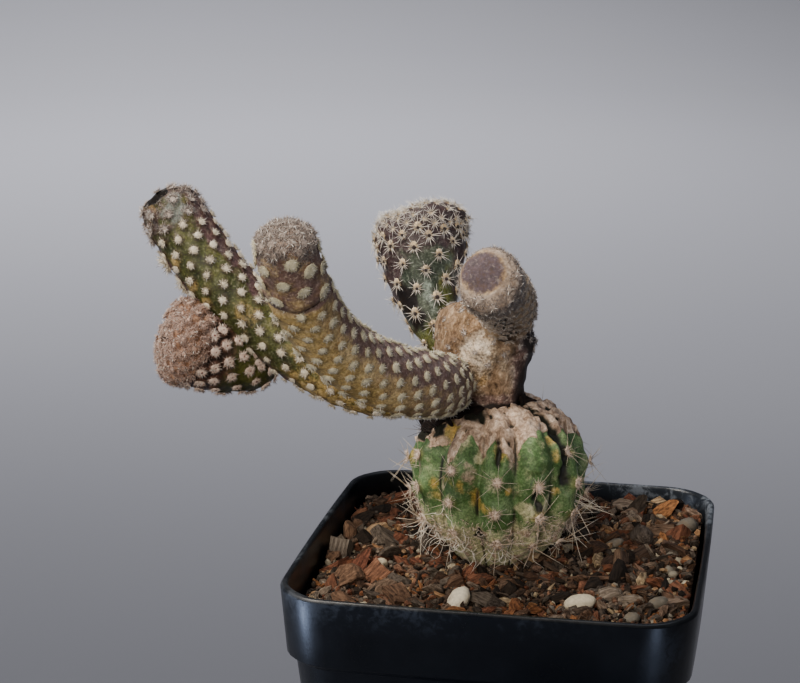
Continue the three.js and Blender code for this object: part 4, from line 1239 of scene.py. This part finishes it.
columns = {  # what the numbers of a row below stand for, in millimetres, radians and shares
    "pad": "wide high raise centre shift long",
    "eye": "wide high raise centre shift",
    "hairs": "count length width lean leanVary lengthVary spread raise rootTone",
    "spines": "count length width lean leanVary lengthVary spread raise rootward",
}
areoleRows = {
    "arm": {"pad": (1.4, 0.5, 0.05, 0.3), "hairs": (56, 0.6, 0.14, 0.85, 0.7, 0.4, 0.6, 0.15, 0.3),
            "spines": (6, 0.9, 0.12, 1.05, 0.4, 0.5, 0.4, 0.2, 0.5)},
    "armEnd": {"pad": (1.2, 0.35, 0, 0.3), "hairs": (44, 0.95, 0.13, 0.95, 0.6, 0.4, 0.6, 0.1, 0.6),
               "spines": (4, 1, 0.12, 1, 0.15, 0.4, 0.4, 0.15)},
    "front": {"pad": (1.6, 0.45, -0.05, 0.15),
              "hairs": (80, 0.42, 0.14, 0.85, 0.7, 0.4, 0.85, 0.05, 0.2),
              "spines": (4, 0.75, 0.1, 0.9, 0.5, 0.5, 0.4, 0.2)},
    "tip": {"pad": (2.3, 0.3, -0.05, 0.15),
            "hairs": (110, 0.5, 0.15, 0.85, 0.7, 0.4, 1.1, 0.05, 0.2),
            "spines": (4, 0.8, 0.11, 0.9, 0.15, 0.2, 0.5, 0.2)},
    "side": {"pad": (1.4, 0.2, -0.1), "hairs": (44, 0.5, 0.15, 0.95, 0.6, 0.4, 0.6, 0.1, 0.3),
             "spines": (4, 0.8, 0.12, 1.1, 0.15, 0.4, 0.3, 0.15)},
    "bud": {"pad": (1.6, 0.35, 0.05, 0.1, 0, 1.35), "eye": (0.42, 0.6, 0.25, 1, -0.1),
            "hairs": (54, 0.85, 0.17, 1, 0.5, 0.4, 0.75, 0.1, 0.2),
            "spines": (5, 0.9, 0.17, 1.2, 0.15, 0.4, 0.5, 0.2)},
    "budEnd": {"pad": (1.1, 0.35, -0.15, 0.4),
               "hairs": (44, 0.65, 0.16, 0.95, 0.6, 0.4, 0.85, 0, 0.55),
               "spines": (2, 0.8, 0.14, 0.9, 0.15, 0.2, 0.6, 0.1)},
    "tipEnd": {"pad": (1.3, 0.3, -0.1, 0.2), "hairs": (34, 0.75, 0.16, 0.9, 0.6, 0.4, 0.9, 0, 0.6),
               "spines": (3, 0.8, 0.14, 1.1, 0.15, 0.2, 0.6, 0.1)},
    "club": {"pad": (1.3, 0.3, 0, 0, 0.45), "eye": (0.8, 0.8, 0.2, 1, -0.1),
             "hairs": (50, 0.55, 0.13, 0.9, 0.6, 0.4, 0.7, 0.05, 0.15),
             "spines": (13, 1.75, 0.15, 1.25, 0.3, 0.45, 0.55, 0.25, 0.35)},
    "clubCrown": {"pad": (0.8, 0.3, -0.05), "hairs": (16, 0.5, 0.12, 0.9, 0.6, 0.2, 0.4, 0, 0.3),
                  "spines": (14, 1.5, 0.12, 1.25, 0.4, 0.5, 0.3, 0.2)},
    "clubEnd": {"pad": (1.3, 0.35, 0), "hairs": (22, 0.7, 0.15, 0.95, 0.5, 0.4, 0.8, 0.1, 0.5),
                "spines": (3, 0.8, 0.15, 1.1, 0.15, 0.2, 0.4, 0.2)},
    "trunk": {"pad": (0.8, 0.2, -0.05), "hairs": (20, 0.55, 0.13, 1.1, 0.4, 0.2, 0.4, 0, 0.6),
              "spines": (3, 0.5, 0.16, 1.2, 0.15, 0.2, 0.3, 0.1)},
    "stock": {"pad": (1.7, 0.4, 0.1, 0.3, 0, 1.15),
              "hairs": (60, 1.05, 0.15, 0.95, 0.5, 0.4, 0.7, 0.2, 0.35),
              "spines": (9, 5, 0.13, 1.2, 0.3, 0.5, 0.4, 0.4)},
    "felt": {"hairs": (1, 0.5, 0.15, 1, 0.5, 0.4, 0, 0, 0.7)},
    "stockFoot": {"hairs": (1, 1.1, 0.15, 1.1, 0.5, 0.5, 0, 0.1, 0.7)},
}
areoles = {kind: {part: {"fine": part == "hairs", **dict(zip(columns[part].split(), row))}
                  for part, row in rows.items()} for kind, rows in areoleRows.items()}

# Wool between the areoles: it starts at one share of the stem's length and is full at another
felts = table("from full count finish gaps", {
    "budEnd": (0.7, 0.84, 20000, "felt", 0.05),
    "frontTip": (0.62, 0.85, 9000, "dusk", 0.4),
    "clubRing": (0.78, 0.9, 11000, "dusk", 0.3),
    "armTip": (0.9, 1.0, 2400, "grey", 0.1),
    "trunkScurf": (0.3, 1.0, 1800, "grey", 0.1),
})


def buildSegment(name, plan, seed):
    stem, slot, node = grown[name], plan["slot"], plan["node"]
    spacingAt = plan.get("spacing", lambda share: 3.35)
    look = {"mesh": plan["mesh"], "mound": 0.28, "moundReach": 1.9, "sway": 0.25, "pucker": 0.09}
    own = ("disc", "denseFrom", "denseMound", "mound", "pucker")
    look.update({key: plan[key] for key in own if key in plan})
    look.setdefault("denseMound", look["mound"])
    allSites = stem.sites(spacingAt)
    skinPiece(name, name, allSites, look, plan["tints"], skins[plan["skin"]], slot, node,
              plan.get("reshape"))
    draw = np.random.default_rng(seed)

    def isFree(spots, room):
        free = ~insideStems(spots["point"], plan["bare"], room)
        if name == "leftArm":
            free &= np.linalg.norm(spots["point"] - scar["centre"], axis=1) > scar["radius"] + room
        if "disc" in plan:
            free &= discDistance(spots, plan["disc"]) > 1.08
        return free

    def onSkin(spots):  # the spots, moved out to the finished skin
        lift, _ = skinLift(spots, allSites, look, plan["tints"], plan.get("reshape"))
        return {**spots, "point": lifted(spots, lift)}

    sites = pick(allSites, isFree(allSites, 0.4))
    sites["scale"] = draw.uniform(0.88, 1.12, len(sites["point"]))
    if "extra" in plan:
        more = skinSpots(stem, [place for place, _ in plan["extra"]])
        more["scale"] = np.array([scale for _, scale in plan["extra"]])
        sites = {key: np.concatenate([sites[key], more[key]]) for key in sites}
    sites = onSkin(sites)
    dense = sites["share"] > plan.get("denseFrom", 2)
    groups = [(plan["wool"], plan["woolFinish"], ~dense, "")]
    if dense.any():
        groups.append((plan["dense"], plan["denseFinish"], dense, "End"))
    for areole, finish, chosen, ending in groups:
        some = pick(sites, chosen)
        kind = areoles[areole]
        wool = [padCopies(some, kind["pad"], draw), needleCopies(some, kind["hairs"], draw)]
        if "eye" in kind:
            points, faces, _ = padCopies(some, kind["eye"], draw)
            wool.append((points, faces, np.ones(len(points))))
        tufts(f"{name}{ending}Wool", wool, wools[finish], slot, node)
        tufts(f"{name}{ending}Spines", [needleCopies(some, kind["spines"], draw)], whiteSpine,
              slot, node)
    for kind in plan.get("felt", []):
        felt = felts[kind]
        spots = scattered(stem, felt["count"], felt["from"], 1, draw)
        chance = smoothStep(spots["share"], felt["from"] - 0.02, felt["full"])
        holes = lumps(spots["point"], 1.5, 51)
        chance = chance * smoothStep(holes, -felt["gaps"] - 0.2, 0.1 - felt["gaps"] / 3)
        kept = onSkin(pick(spots, isFree(spots, 0) & (draw.uniform(0, 1, len(chance)) < chance)))
        tufts(f"{name}Felt", [needleCopies(kept, areoles["felt"]["hairs"], draw)],
              wools[felt["finish"]], slot, node)


print("scion")
for seed, (name, plan) in enumerate(segments.items(), 31):
    buildSegment(name, plan, seed)


# Stock: a ribbed ball with a corky top

stockLook = {
    "ribs": 12, "furrowDepth": 2.3, "turned": 7.4, "front": 8.3, "ribsFrom": (70, 78),
    "ribsTo": (97, 104), "mesh": (230, 150), "sway": 5, "rowStep": 6, "rowsTo": 95.5,
    "rowStarts": (79, 77.5, 76.5, 77.8, 79.5, 77, 80, 78.4, 80.6, 78, 81, 80.4),
    "footFibres": 9000,
}
stockFoot = stems["stock"]["rows"][0][2]

# Round the stock, degrees are counted to the right from the side that faces the front.
corkEdge = ((-180, 95), (-150, 96.5), (-120, 94), (-90, 93), (-72, 96.5), (-54, 95), (-46, 97.5),
            (-34, 92.8), (-25, 98.6), (-12, 95.8), (-3, 98), (11, 94.2), (20, 97.4), (38, 99.4),
            (52, 98.2), (75, 97), (100, 94), (140, 96.5), (180, 95))

stockMarks = {  # by tint: degrees round, height, half width, half height, weight
    "groove": [(0, 95.6, 0.9, 3, 0.9), (54, 98, 1.3, 2, 0.9), (56, 94.5, 1.6, 2.6, 1),
               (53, 90, 1.5, 2.8, 0.9), (27, 86.8, 1, 2.6, 0.8), (57, 101, 0.9, 2.2, 0.9)],
    # mostly painted shade: in the furrows, under the front arm and beside the trunk
    "deep": [(0, 95.6, 0.75, 2.9, 1), (54, 98, 1.1, 2, 1), (56, 94.5, 1.3, 2.6, 1),
             (53, 90, 1.3, 2.8, 0.9), (26, 87.8, 0.8, 1.4, 1), (29, 85.2, 0.9, 1.3, 1),
             (57, 101, 0.8, 2, 1), (-14, 78.3, 1.7, 0.9, 1), (-59, 98, 1.8, 1.3, 1),
             (-78, 96.6, 2.2, 1.6, 1), (-88, 95, 1.8, 1.5, 1), (-30, 101.2, 3, 0.9, 1)],
    "swell": [(38, 95.3, 4.2, 4.6, 0.8), (-26, 93, 3.4, 4.6, 0.5)],
    "cork": [(-47, 98.8, 2.6, 1.7, -0.8), (47, 97.3, 1.5, 1.1, -0.6), (-13, 81.6, 1.9, 1.1, -1),
             (3, 82.6, 1.6, 1.2, -0.9)],
    "ripe": [(-47, 98.8, 2.8, 1.8, 1), (46, 97.2, 1.3, 1, 0.8), (45, 94.6, 0.9, 1.5, 0.7),
             (-16, 87.4, 1, 1.6, 0.8), (-25, 89.4, 0.9, 1.4, 0.6), (45, 87.2, 1.1, 1, 0.8),
             (28, 84, 2, 1.2, 0.8), (-52, 88.5, 1, 1.2, 0.8), (7, 88.8, 1, 0.9, 0.7)],
    "blush": [(-20, 91.6, 1.2, 2.5, 0.75), (-66, 91, 1.4, 3, 0.6), (-40, 89.5, 1, 2.6, 0.5),
              (11, 95, 1.4, 3.2, 0.6), (12, 88, 1.2, 1.6, 0.5), (68, 95, 1.2, 2.4, 0.5)],
    "bloom": [(20, 84.9, 2.2, 1.3, 1), (37, 85.8, 1.8, 1.6, 1), (-27, 97.6, 0.8, 1.8, 0.8),
              (-15, 95.2, 0.8, 1.8, 0.9), (-13, 81.6, 1.9, 1.1, -1), (3, 82.6, 1.6, 1.2, -0.7)],
}


def halfTurns(degrees):  # the same bearing, from -180 to 180
    return (degrees + 180) % 360 - 180


def ribSway(points):  # how far the ribs wander from even spacing, in degrees
    return stockLook["sway"] * lumps(points * (1, 1, 0.6), 12, 29)


def ribAcross(spots):  # 1 along the crest of a rib, 0 in the furrow
    bearing = np.degrees(spots["angle"]) - stockLook["turned"] - ribSway(spots["point"])
    return np.abs(np.cos(np.radians(stockLook["ribs"] * bearing / 2)))


def stockSites():
    stem = grown["stock"]
    heights, bearings = [], []
    for rib, start in enumerate(stockLook["rowStarts"]):
        for height in np.arange(start, stockLook["rowsTo"], stockLook["rowStep"]):
            heights.append(height)
            bearings.append(rib * 360 / stockLook["ribs"] + stockLook["turned"])
    stretch = np.arccos(1 - 2 * (np.array(heights) - stockFoot) / stem.length) / np.pi
    even = stem.spots(stretch, np.radians(bearings))
    return stem.spots(stretch, np.radians(bearings + ribSway(even["point"])))


def stockTints(spots):
    height = spots["point"][:, 2]
    bearing = halfTurns(np.degrees(spots["angle"]) - stockLook["front"])
    patch = lumps(spots["point"], 6, 21)
    small = lumps(spots["point"] * (1, 1, 0.6), 1.5, 22)
    streak = lumps(spots["point"] * (1, 1, 0.25), 1.4, 27)
    across = ribAcross(spots)
    cork = smoothStep(height + 1.3 * small - np.interp(bearing, *zip(*corkEdge)), -0.4, 0.7)
    foot = smoothStep(height + 2.5 * patch + 2 * small, 84.5, 78.5)
    # painted shade in the furrows near the top
    dark = smoothStep(across, 0.32, 0.05) * smoothStep(height, 102, 97) * smoothStep(patch, -0.5, 0.3)
    # painted shade down the right side
    shade = 0.3 * smoothStep(bearing, 40, 85) * smoothStep(bearing, 130, 100)
    values = {"cork": np.maximum(cork, foot * (0.3 + 0.7 * small)),
              "bloom": np.maximum(foot, 0.16 + 0.4 * small),
              "ripe": smoothStep(patch, 0.35, 0.7) * 0.6, "blush": cork * smoothStep(streak, 0.05, 0.4),
              # deep: painted shade in the furrows and down the right side, and darker streaks in the cork
              "deep": np.maximum(dark * 0.8, 0.75 * cork * smoothStep(streak, 0.28, 0.55)) + shade}
    ragged = lumps(spots["point"], 1.1, 41)
    for tint, marks in stockMarks.items():
        for middle, level, wide, high, weight in marks:
            gap = np.radians(halfTurns(bearing - middle)) * spots["radius"]
            paint(values, tint, np.hypot(gap / wide, (height - level) / high), weight, ragged)
    return values


def furrowAt(spots):  # how deep the skin lies between the ribs
    height = spots["point"][:, 2]
    deep = smoothStep(height, *stockLook["ribsFrom"]) * (1 - smoothStep(height, *stockLook["ribsTo"]))
    return stockLook["furrowDepth"] * deep * (1 - ribAcross(spots)) ** 1.25


def ribbed(spots, lift, values):
    streak = lumps(spots["point"] * (1, 1, 0.25), 1.4, 27)
    crumbs = 0.5 * lumps(spots["point"], 1.5, 25) + 0.4 * lumps(spots["point"], 0.8, 26)
    corky = values["cork"] * (crumbs - 0.55 * smoothStep(streak, 0, 0.5))
    marked = 1.1 * values.get("swell", 0) - 1.7 * values.get("groove", 0)
    return lift - furrowAt(spots) + corky + marked


def buildStock():
    own = {"slot": "stock_skin", "node": "rootstock"}
    sites = stockSites()
    look = {"mesh": stockLook["mesh"], "mound": 0.7, "moundReach": 2.6, "sway": 0.5, "pucker": 0.18}
    skinPiece("stockBody", "stock", sites, look, stockTints, skins["stock"], reshape=ribbed, **own)
    sites = pick(sites, ~insideStems(sites["point"], ["trunk", "frontArm", "leftArm"], 1.0))
    lift, _ = skinLift(sites, sites, look, stockTints, ribbed)
    sites["point"] = lifted(sites, lift)
    height = sites["point"][:, 2]
    draw = np.random.default_rng(23)
    sites["scale"] = draw.uniform(0.85, 1.1, len(height))
    kind = areoles["stock"]
    wool = [padCopies(sites, kind["pad"], draw), needleCopies(sites, kind["hairs"], draw)]
    tufts("stockWool", wool, wools["stock"], **own)
    sites["scale"] = 0.85 + 0.5 * smoothStep(height, 88, 78)
    tufts("stockSpines", [needleCopies(sites, kind["spines"], draw)], stockSpine, **own)
    count = stockLook["footFibres"]
    scurf = scattered(grown["stock"], count, 0.45, 0.74, draw)
    rough = smoothStep(scurf["point"][:, 2] + 2.5 * lumps(scurf["point"], 6, 21), 85, 79)
    scurf = pick(scurf, draw.uniform(0, 1, count) < rough * 0.4)
    fibre = areoles["stockFoot"]["hairs"]
    tufts("stockFootFibres", [needleCopies(scurf, fibre, draw)], wools["stock"], **own)


crustAndShade = {  # the dried black rim of the graft, and how low it reaches round the stock; where it reaches low on the left, under the front arm, it is partly painted shade
    "edge": ((-180, 101.6), (-130, 99), (-100, 96.5), (-85, 95.8), (-62, 98.4), (-44, 100.8),
             (-15, 102.1), (20, 102.3), (60, 102.4), (90, 102.1), (120, 102), (180, 101.6)),
    "top": 102.75, "thick": 0.35, "ragged": 0.7, "reach": 10, "mesh": (150, 14),
    # flakes: partly dried tissue, partly dark pieces set where shade falls under the front arm and beside
    # the trunk
    "flakes": ((84, 102.4, 3.4, 40), (66, 102.3, 2.2, 20), (-75, 97.2, 2.6, 15), (-95, 96.5, 2.4, 25),
               (-52, 99.6, 2, 12), (150, 101.8, 2.4, 25), (-150, 100.4, 2.6, 20)),
}


def stockSpot(bearing, height):  # spots of the stock's skin by degrees round and height
    stem = grown["stock"]
    share = np.clip((np.array(height) - stockFoot) / stem.length, 0, 0.9999)
    stretch = np.arccos(1 - 2 * share) / np.pi
    spots = stem.spots(stretch, np.radians(np.array(bearing) + stockLook["front"]))
    return {**spots, "point": lifted(spots, -furrowAt(spots))}


def buildCrustAndShade():
    around, thick = crustAndShade["mesh"]
    piece = startPiece("graftCrustAndShade", bpy.ops.mesh.primitive_torus_add, major_radius=2,
                       minor_radius=1, major_segments=around, minor_segments=thick)
    ring = readPoints(piece.data)
    bearing = np.degrees(np.arctan2(ring[:, 1], ring[:, 0]))
    outward = np.linalg.norm(ring[:, :2], axis=1) - 2
    low = np.interp(bearing, *zip(*crustAndShade["edge"]))
    rimPlace = unit(ring * (1, 1, 0)) * crustAndShade["reach"]
    low = low + crustAndShade["ragged"] * lumps(rimPlace, 2.2, 61)
    height = crustAndShade["top"] + (low - crustAndShade["top"]) * (outward + 1) / 2
    spots = stockSpot(bearing, height)
    lift = crustAndShade["thick"] * (ring[:, 2] + 0.25) + 0.4 * lumps(spots["point"], 1.2, 62)
    writePoints(piece.data, lifted(spots, lift) * mm)
    pickOnly(piece)
    editMode(True)
    turnOutward()
    bpy.ops.object.shade_smooth()
    seat(piece, driedTissue, "stock_skin", "rootstock")
    bearing, height, size, tilt = np.array(crustAndShade["flakes"]).T
    spots = stockSpot(bearing, height)
    tilt, size = np.radians(tilt)[:, None], size[:, None]
    across = spots["around"] * size
    up = unit(spots["outward"] * np.cos(tilt) + spots["upward"] * np.sin(tilt))
    aside = np.cross(up, spots["around"]) * size
    points, faces = copied(modelChip(17, 3), lifted(spots, np.full(len(size), 0.5)), across,
                           up * size * 0.7, aside * 0.25)
    seat(meshPiece("graftFlakesAndShade", points, faces, smooth=False), driedTissue, "stock_skin",
         "rootstock")


def wires(name, runs, thickness, material, node, slot):  # thin bent fibres from bevelled curves
    curve = bpy.data.curves.new(name, "CURVE")
    curve.dimensions = "3D"
    curve.bevel_depth = thickness / 2 * mm
    curve.bevel_resolution = 0
    curve.resolution_u = 3
    curve.use_fill_caps = True
    for run in runs:
        spline = curve.splines.new("NURBS")
        spline.points.add(len(run) - 1)
        for index, (point, spot) in enumerate(zip(spline.points, run)):
            point.co = (*(np.array(spot) * mm), 1)
            point.radius = 1 - 0.75 * index / len(run)
        spline.order_u = 3
        spline.use_endpoint_u = True
    piece = bpy.data.objects.new(name, curve)
    bpy.context.scene.collection.objects.link(piece)
    pickOnly(piece)
    bpy.ops.object.convert(target="MESH")
    piece = bpy.context.object
    addTint(piece.data, "tone", np.full(len(piece.data.vertices), 0.3))
    return seat(piece, material, slot, node)


def fibreRuns(look, draw):  # fibres that leave the stock's skin and wander
    bearing = look["at"][0] + look["spread"][0] * draw.normal(0, 1, look["count"])
    height = look["at"][1] + look["spread"][1] * draw.normal(0, 1, look["count"])
    spots = stockSpot(bearing, height)
    runs = []
    for spot, outward in zip(spots["point"], spots["outward"]):
        heading = unit(outward * look["lift"] + look["towards"] + draw.normal(0, look["fan"], 3))
        step = look["length"] * draw.uniform(0.5, 1.1) / look["steps"]
        run = [spot]
        for _ in range(look["steps"]):
            heading = unit(heading + draw.normal(0, look["curl"], 3))
            spot = spot + heading * step
            run.append(spot)
        runs.append(run)
    return runs


fibres = table("count at spread lift towards fan length steps curl thick finish", {
    "graftHairs": (9, (-64, 97.5), (6, 1), 0.3, (-0.7, -0.15, 0.6), 0.4, 5.5, 4, 0.12, 0.13,
                   darkHair),
    "curlyRoots": (24, (-50, 79), (9, 3), 0.4, (-0.3, -0.2, -0.4), 0.6, 9, 9, 0.5, 0.17, rootFibre),
    "footRoots": (36, (-10, 76), (30, 1.5), 0.5, (0, -0.2, -0.3), 0.8, 7, 7, 0.45, 0.15, rootFibre),
    "footSpines": (9, (70, 82), (8, 2.4), 0.4, (0.4, -0.15, -0.5), 0.3, 9, 4, 0.05, 0.17,
                   stockSpine),
    "leftSpines": (7, (-76, 86), (9, 3), 0.8, (0, 0, 0.1), 0.35, 6, 3, 0.05, 0.14, stockSpine),
})


def buildFibres():
    draw = np.random.default_rng(71)
    for name, look in fibres.items():
        wires(name, fibreRuns(look, draw), look["thick"], look["finish"], "rootstock", "stock_skin")


print("stock")
buildStock()
buildCrustAndShade()
buildFibres()


# Substrate: fine compost with bark chips, pebbles and grit

soil = {"level": 71, "riseRight": 0.03, "riseBack": 0.025, "mound": 1.4, "moundSpread": 15,
        "gap": 0.35, "crumble": 0.9, "sunk": 0.6, "corner": 8, "stock": (-3, 5.5),
        "neck": 10}


def soilHeight(x, y):
    reach = np.hypot(x - soil["stock"][0], y - soil["stock"][1])
    return (soil["level"] + soil["riseRight"] * x + soil["riseBack"] * y
            + soil["mound"] * np.exp(-((reach / soil["moundSpread"]) ** 2)))


def buildSoilBed():
    z, wide = soil["level"], innerHalf(soil["level"]) - soil["gap"] - 0.1
    bed = startPiece("soilBed", bpy.ops.mesh.primitive_grid_add, x_subdivisions=110,
                     y_subdivisions=110, size=2 * wide * mm)
    corner = soil["corner"] / wide
    selectWhere(bed, lambda edge: edge.is_boundary, "edges")
    for nextZ, inset in ((innerStep[0], 0), (innerStep[1], 0), (pot["floor"] + 1, 0),
                         (pot["floor"] + soil["gap"], 1.2)):
        nextWide = innerHalf(nextZ) - soil["gap"] - inset
        drawOut(bpy.ops.mesh.extrude_edges_move, (nextZ - z) * mm, nextWide / wide)
        z, wide = nextZ, nextWide
    bpy.ops.mesh.edge_face_add()
    turnOutward()
    points = readPoints(bed.data) / mm
    reach = np.array([roundedReach(x, y, corner) for x, y in points[:, :2]])
    points[:, :2] *= reach[:, None]
    top = np.abs(points[:, 2]) < 1e-6
    crumbs = soil["crumble"] * (lumps(points, 2.6, 31) + 0.5 * lumps(points, 1.1, 32))
    surface = soilHeight(points[:, 0], points[:, 1]) + crumbs - soil["sunk"]
    points[:, 2] = np.where(top, surface, points[:, 2] + soil["level"])
    writePoints(bed.data, points * mm)
    bpy.ops.object.shade_smooth_by_angle(angle=math.radians(50))
    return seat(bed, compost, "bark_substrate", "substrate")


chunks = table("count size vary tumble proud seed tones", {
    "barkChips": (150, (4.4, 2.8, 1.9), 0.45, 1.3, 0.4, 61, (0.0, 1.0)),
    "barkBits": (1400, (2.6, 1.6, 1.1), 0.6, 1.5, 0.55, 62, (0.0, 1.0)),
    "barkSlivers": (420, (4.6, 0.6, 0.5), 0.6, 1.0, 1.0, 66, (0.1, 0.95)),
    "barkCrumbs": (5200, (1.05, 0.85, 0.75), 0.5, 1.6, 0.6, 63, (0.0, 1.0)),
    "grit": (260, (1.3, 1.05, 0.9), 0.6, 1.5, 0.35, 64, (0.0, 0.9)),
    "pebbles": (7, (2.2, 1.8, 1.5), 0.4, 0.8, 0.3, 65, (0.0, 0.6)),
})
placedChunks = {  # the largest, listed one by one: x, y, rise, size, turn, tilt and tone
    "barkChips": [
        (-33, -0.5, 0.4, (6.4, 4, 2.8), 75, 62, 0.3), (-33.4, 9.6, 0.8, (5.6, 2.6, 2.2), 100, 60, 0.55),
        (-32.4, 17.3, 0.8, (4.8, 3.6, 2.6), 30, 35, 0.1), (-27.8, 11.1, 0.7, (5, 4.2, 2.8), 20, 30, 0.97),
        (-27.7, 17.1, 1, (4.2, 2.8, 2), 40, 35, 0.8), (-28.2, 29.6, 0.9, (8.4, 2.8, 2), 12, 14, 0.86),
        (-30, 23.4, 0.7, (5, 3.6, 2), 8, 24, 0.06), (-28, -7.6, 0.8, (7, 3, 2.2), 58, 40, 0.84),
        (-31, -16, 0.7, (4.2, 2.8, 2), 110, 40, 0.78), (-18.4, -13.6, 0.6, (5, 3.6, 2.4), 160, 35, 0.27),
        (-9, -13, 0.5, (5, 3.2, 2.2), 20, 25, 0.5), (2, -15, 0.5, (4.4, 3, 2), 70, 40, 0.12),
        (27.5, 28.6, 1, (5.6, 4, 2.4), 30, 35, 0.93), (31, 15.4, 0.8, (4.8, 3.8, 2.6), 60, 45, 0.8),
        (22, 24, 0.8, (4.6, 2.8, 2), 130, 30, 0.64), (24, 4, 0.5, (5, 3.4, 2), 20, 30, 0.4)],
    "barkSlivers": [
        (17, -8, 1, (13, 1.6, 1.2), 4, 3, 0.5), (6, -9, 1, (9, 1.4, 1), 170, 5, 0.35),
        (24, -12, 1, (8, 1.5, 1.1), 15, 8, 0.76)],
    "pebbles": [
        (-24.1, -5.2, 0.8, (3.4, 2.6, 2.4), 20, 10, 0.75), (-6, -21.6, 1.3, (6, 4, 3.4), 55, 40, 0.95),
        (15.8, -19.6, 1, (6, 4.6, 3.4), 10, 10, 0.8), (-25.9, -25.2, 0.4, (2.8, 2.2, 1.8), 40, 0, 0.7),
        (-23.2, -24.4, 0.4, (3, 2.4, 1.8), 10, 0, 0.6), (32.4, 21.5, 0.7, (5.2, 4.2, 3.2), 60, 10, 0.2),
        (19, 10.1, 0.7, (4.6, 2.4, 1.8), 20, 20, 0.25), (31.4, -3.1, 0.5, (1.9, 1.6, 1.4), 0, 0, 0.4),
        (31.4, -7.8, 0.6, (3, 1.8, 1.5), 10, 0, 0.5), (29.8, -16.9, 0.6, (4, 3, 2.4), 20, 0, 0.15),
        (25.6, -24, 0.5, (3.6, 3, 2), 70, 0, 0.2), (10.6, 6.6, 0.6, (2.4, 2, 1.6), 30, 0, 0.45)],
}


def randomTurns(draw, count, tumble):  # three directions for each chunk, most of them lying flat
    turn = draw.uniform(0, 2 * np.pi, count)
    lean = draw.normal(0, 0.5, (count, 2)) * tumble
    up = unit(np.column_stack([np.sin(lean[:, 0]), np.sin(lean[:, 1]), np.cos(lean[:, 0])]))
    across = np.column_stack([np.cos(turn), np.sin(turn), np.zeros(count)])
    across = unit(across - up * np.sum(across * up, axis=1)[:, None])
    return across, np.cross(up, across), up


def spreadOverSoil(draw, count, margin):  # places inside the rim and clear of the stock
    half = innerHalf(soil["level"]) - soil["gap"] - margin
    found = []
    while len(found) < count:
        x, y = draw.uniform(-half, half, 2)
        beyond = [max(abs(side) - half + soil["corner"], 0) for side in (x, y)]
        fromStock = math.hypot(x - soil["stock"][0], y - soil["stock"][1])
        if math.hypot(*beyond) < soil["corner"] and fromStock > soil["neck"]:
            found.append((x, y))
    return np.array(found)


def buildChunks(name, look, patterns, material):
    draw = np.random.default_rng(look["seed"])
    size = np.array(look["size"])
    spots = spreadOverSoil(draw, look["count"], size[0] * 0.32)
    placed = placedChunks.get(name, [])
    for x, y, _, sizes, *_ in placed + placedChunks["pebbles"]:  # each keeps its place clear
        gap = np.hypot(*(spots - (x, y)).T)
        spots = spots[gap > size[0] * 0.3 + min(sizes[1], 4) * 0.4]
    sets, grains = [], []

    def add(pattern, xy, sizes, turns, rise, tone):
        z = soilHeight(xy[:, 0], xy[:, 1]) + rise
        across, aside, up = turns
        points, faces = copied(pattern, np.column_stack([xy, z]), across * sizes[:, :1],
                               aside * sizes[:, 1:2], up * sizes[:, 2:])
        sets.append((points, faces, np.repeat(tone, len(pattern[0]))))
        local = pattern[0][None] * sizes[:, None] * (0.35, 1.6, 3.2)
        grains.append((local + draw.uniform(0, 90, (len(xy), 1, 3))).reshape(-1, 3))

    for kind, pattern in enumerate(patterns):
        some = spots[kind::len(patterns)]
        count = len(some)
        sizes = size * (1 + look["vary"] * draw.uniform(-0.6, 1, (count, 1)))
        sizes = sizes * draw.uniform(0.8, 1.2, (count, 3))
        rise = look["proud"] * sizes[:, 2] * draw.uniform(-0.4, 1.2, count)
        add(pattern, some, sizes, randomTurns(draw, count, look["tumble"]), rise,
            draw.uniform(*look["tones"], count))
    for index, (x, y, rise, sizes, turn, tilt, tone) in enumerate(placed):
        turn, tilt = math.radians(turn), math.radians(tilt)
        across = np.array([[math.cos(turn) * math.cos(tilt), math.sin(turn) * math.cos(tilt),
                            math.sin(tilt)]])
        aside = np.array([[-math.sin(turn), math.cos(turn), 0]])
        add(patterns[index % len(patterns)], np.array([[x, y]]), np.array([sizes]),
            (across, aside, np.cross(across, aside)), rise, np.array([tone]))
    points, faces, tone = joined(sets)
    half = np.array([innerHalf(z) for z in points[:, 2]]) - soil["gap"]
    points[:, :2] = np.clip(points[:, :2], -half[:, None], half[:, None])
    piece = meshPiece(name, points, faces, smooth=name == "pebbles")
    addTint(piece.data, "tone", tone)
    grain = piece.data.attributes.new("grain", "FLOAT_VECTOR", "POINT")
    grain.data.foreach_set("vector", np.vstack(grains).astype(np.float32).ravel())
    return seat(piece, material, "bark_substrate", "substrate")


print("substrate")
buildSoilBed()
chipPatterns = [modelChip(4, 4), modelFlake(9, 4), modelFlake(14, 5), modelChip(23, 5),
                modelFlake(31, 4)]
crumbPatterns = [modelCrumb(seed) for seed in (2, 5)]
bitPatterns = [modelCrumb(seed, rough=0.24) for seed in (6, 11, 13)]
pebblePatterns = [modelCrumb(seed, roundness=2, rough=0.08) for seed in (3, 8, 12)]
for name, patterns, finish in (("barkChips", chipPatterns, barkFinish),
                               ("barkBits", bitPatterns, barkFinish),
                               ("barkSlivers", crumbPatterns, barkFinish),
                               ("barkCrumbs", crumbPatterns, barkFinish),
                               ("grit", crumbPatterns, stone), ("pebbles", pebblePatterns, stone)):
    buildChunks(name, chunks[name], patterns, finish)
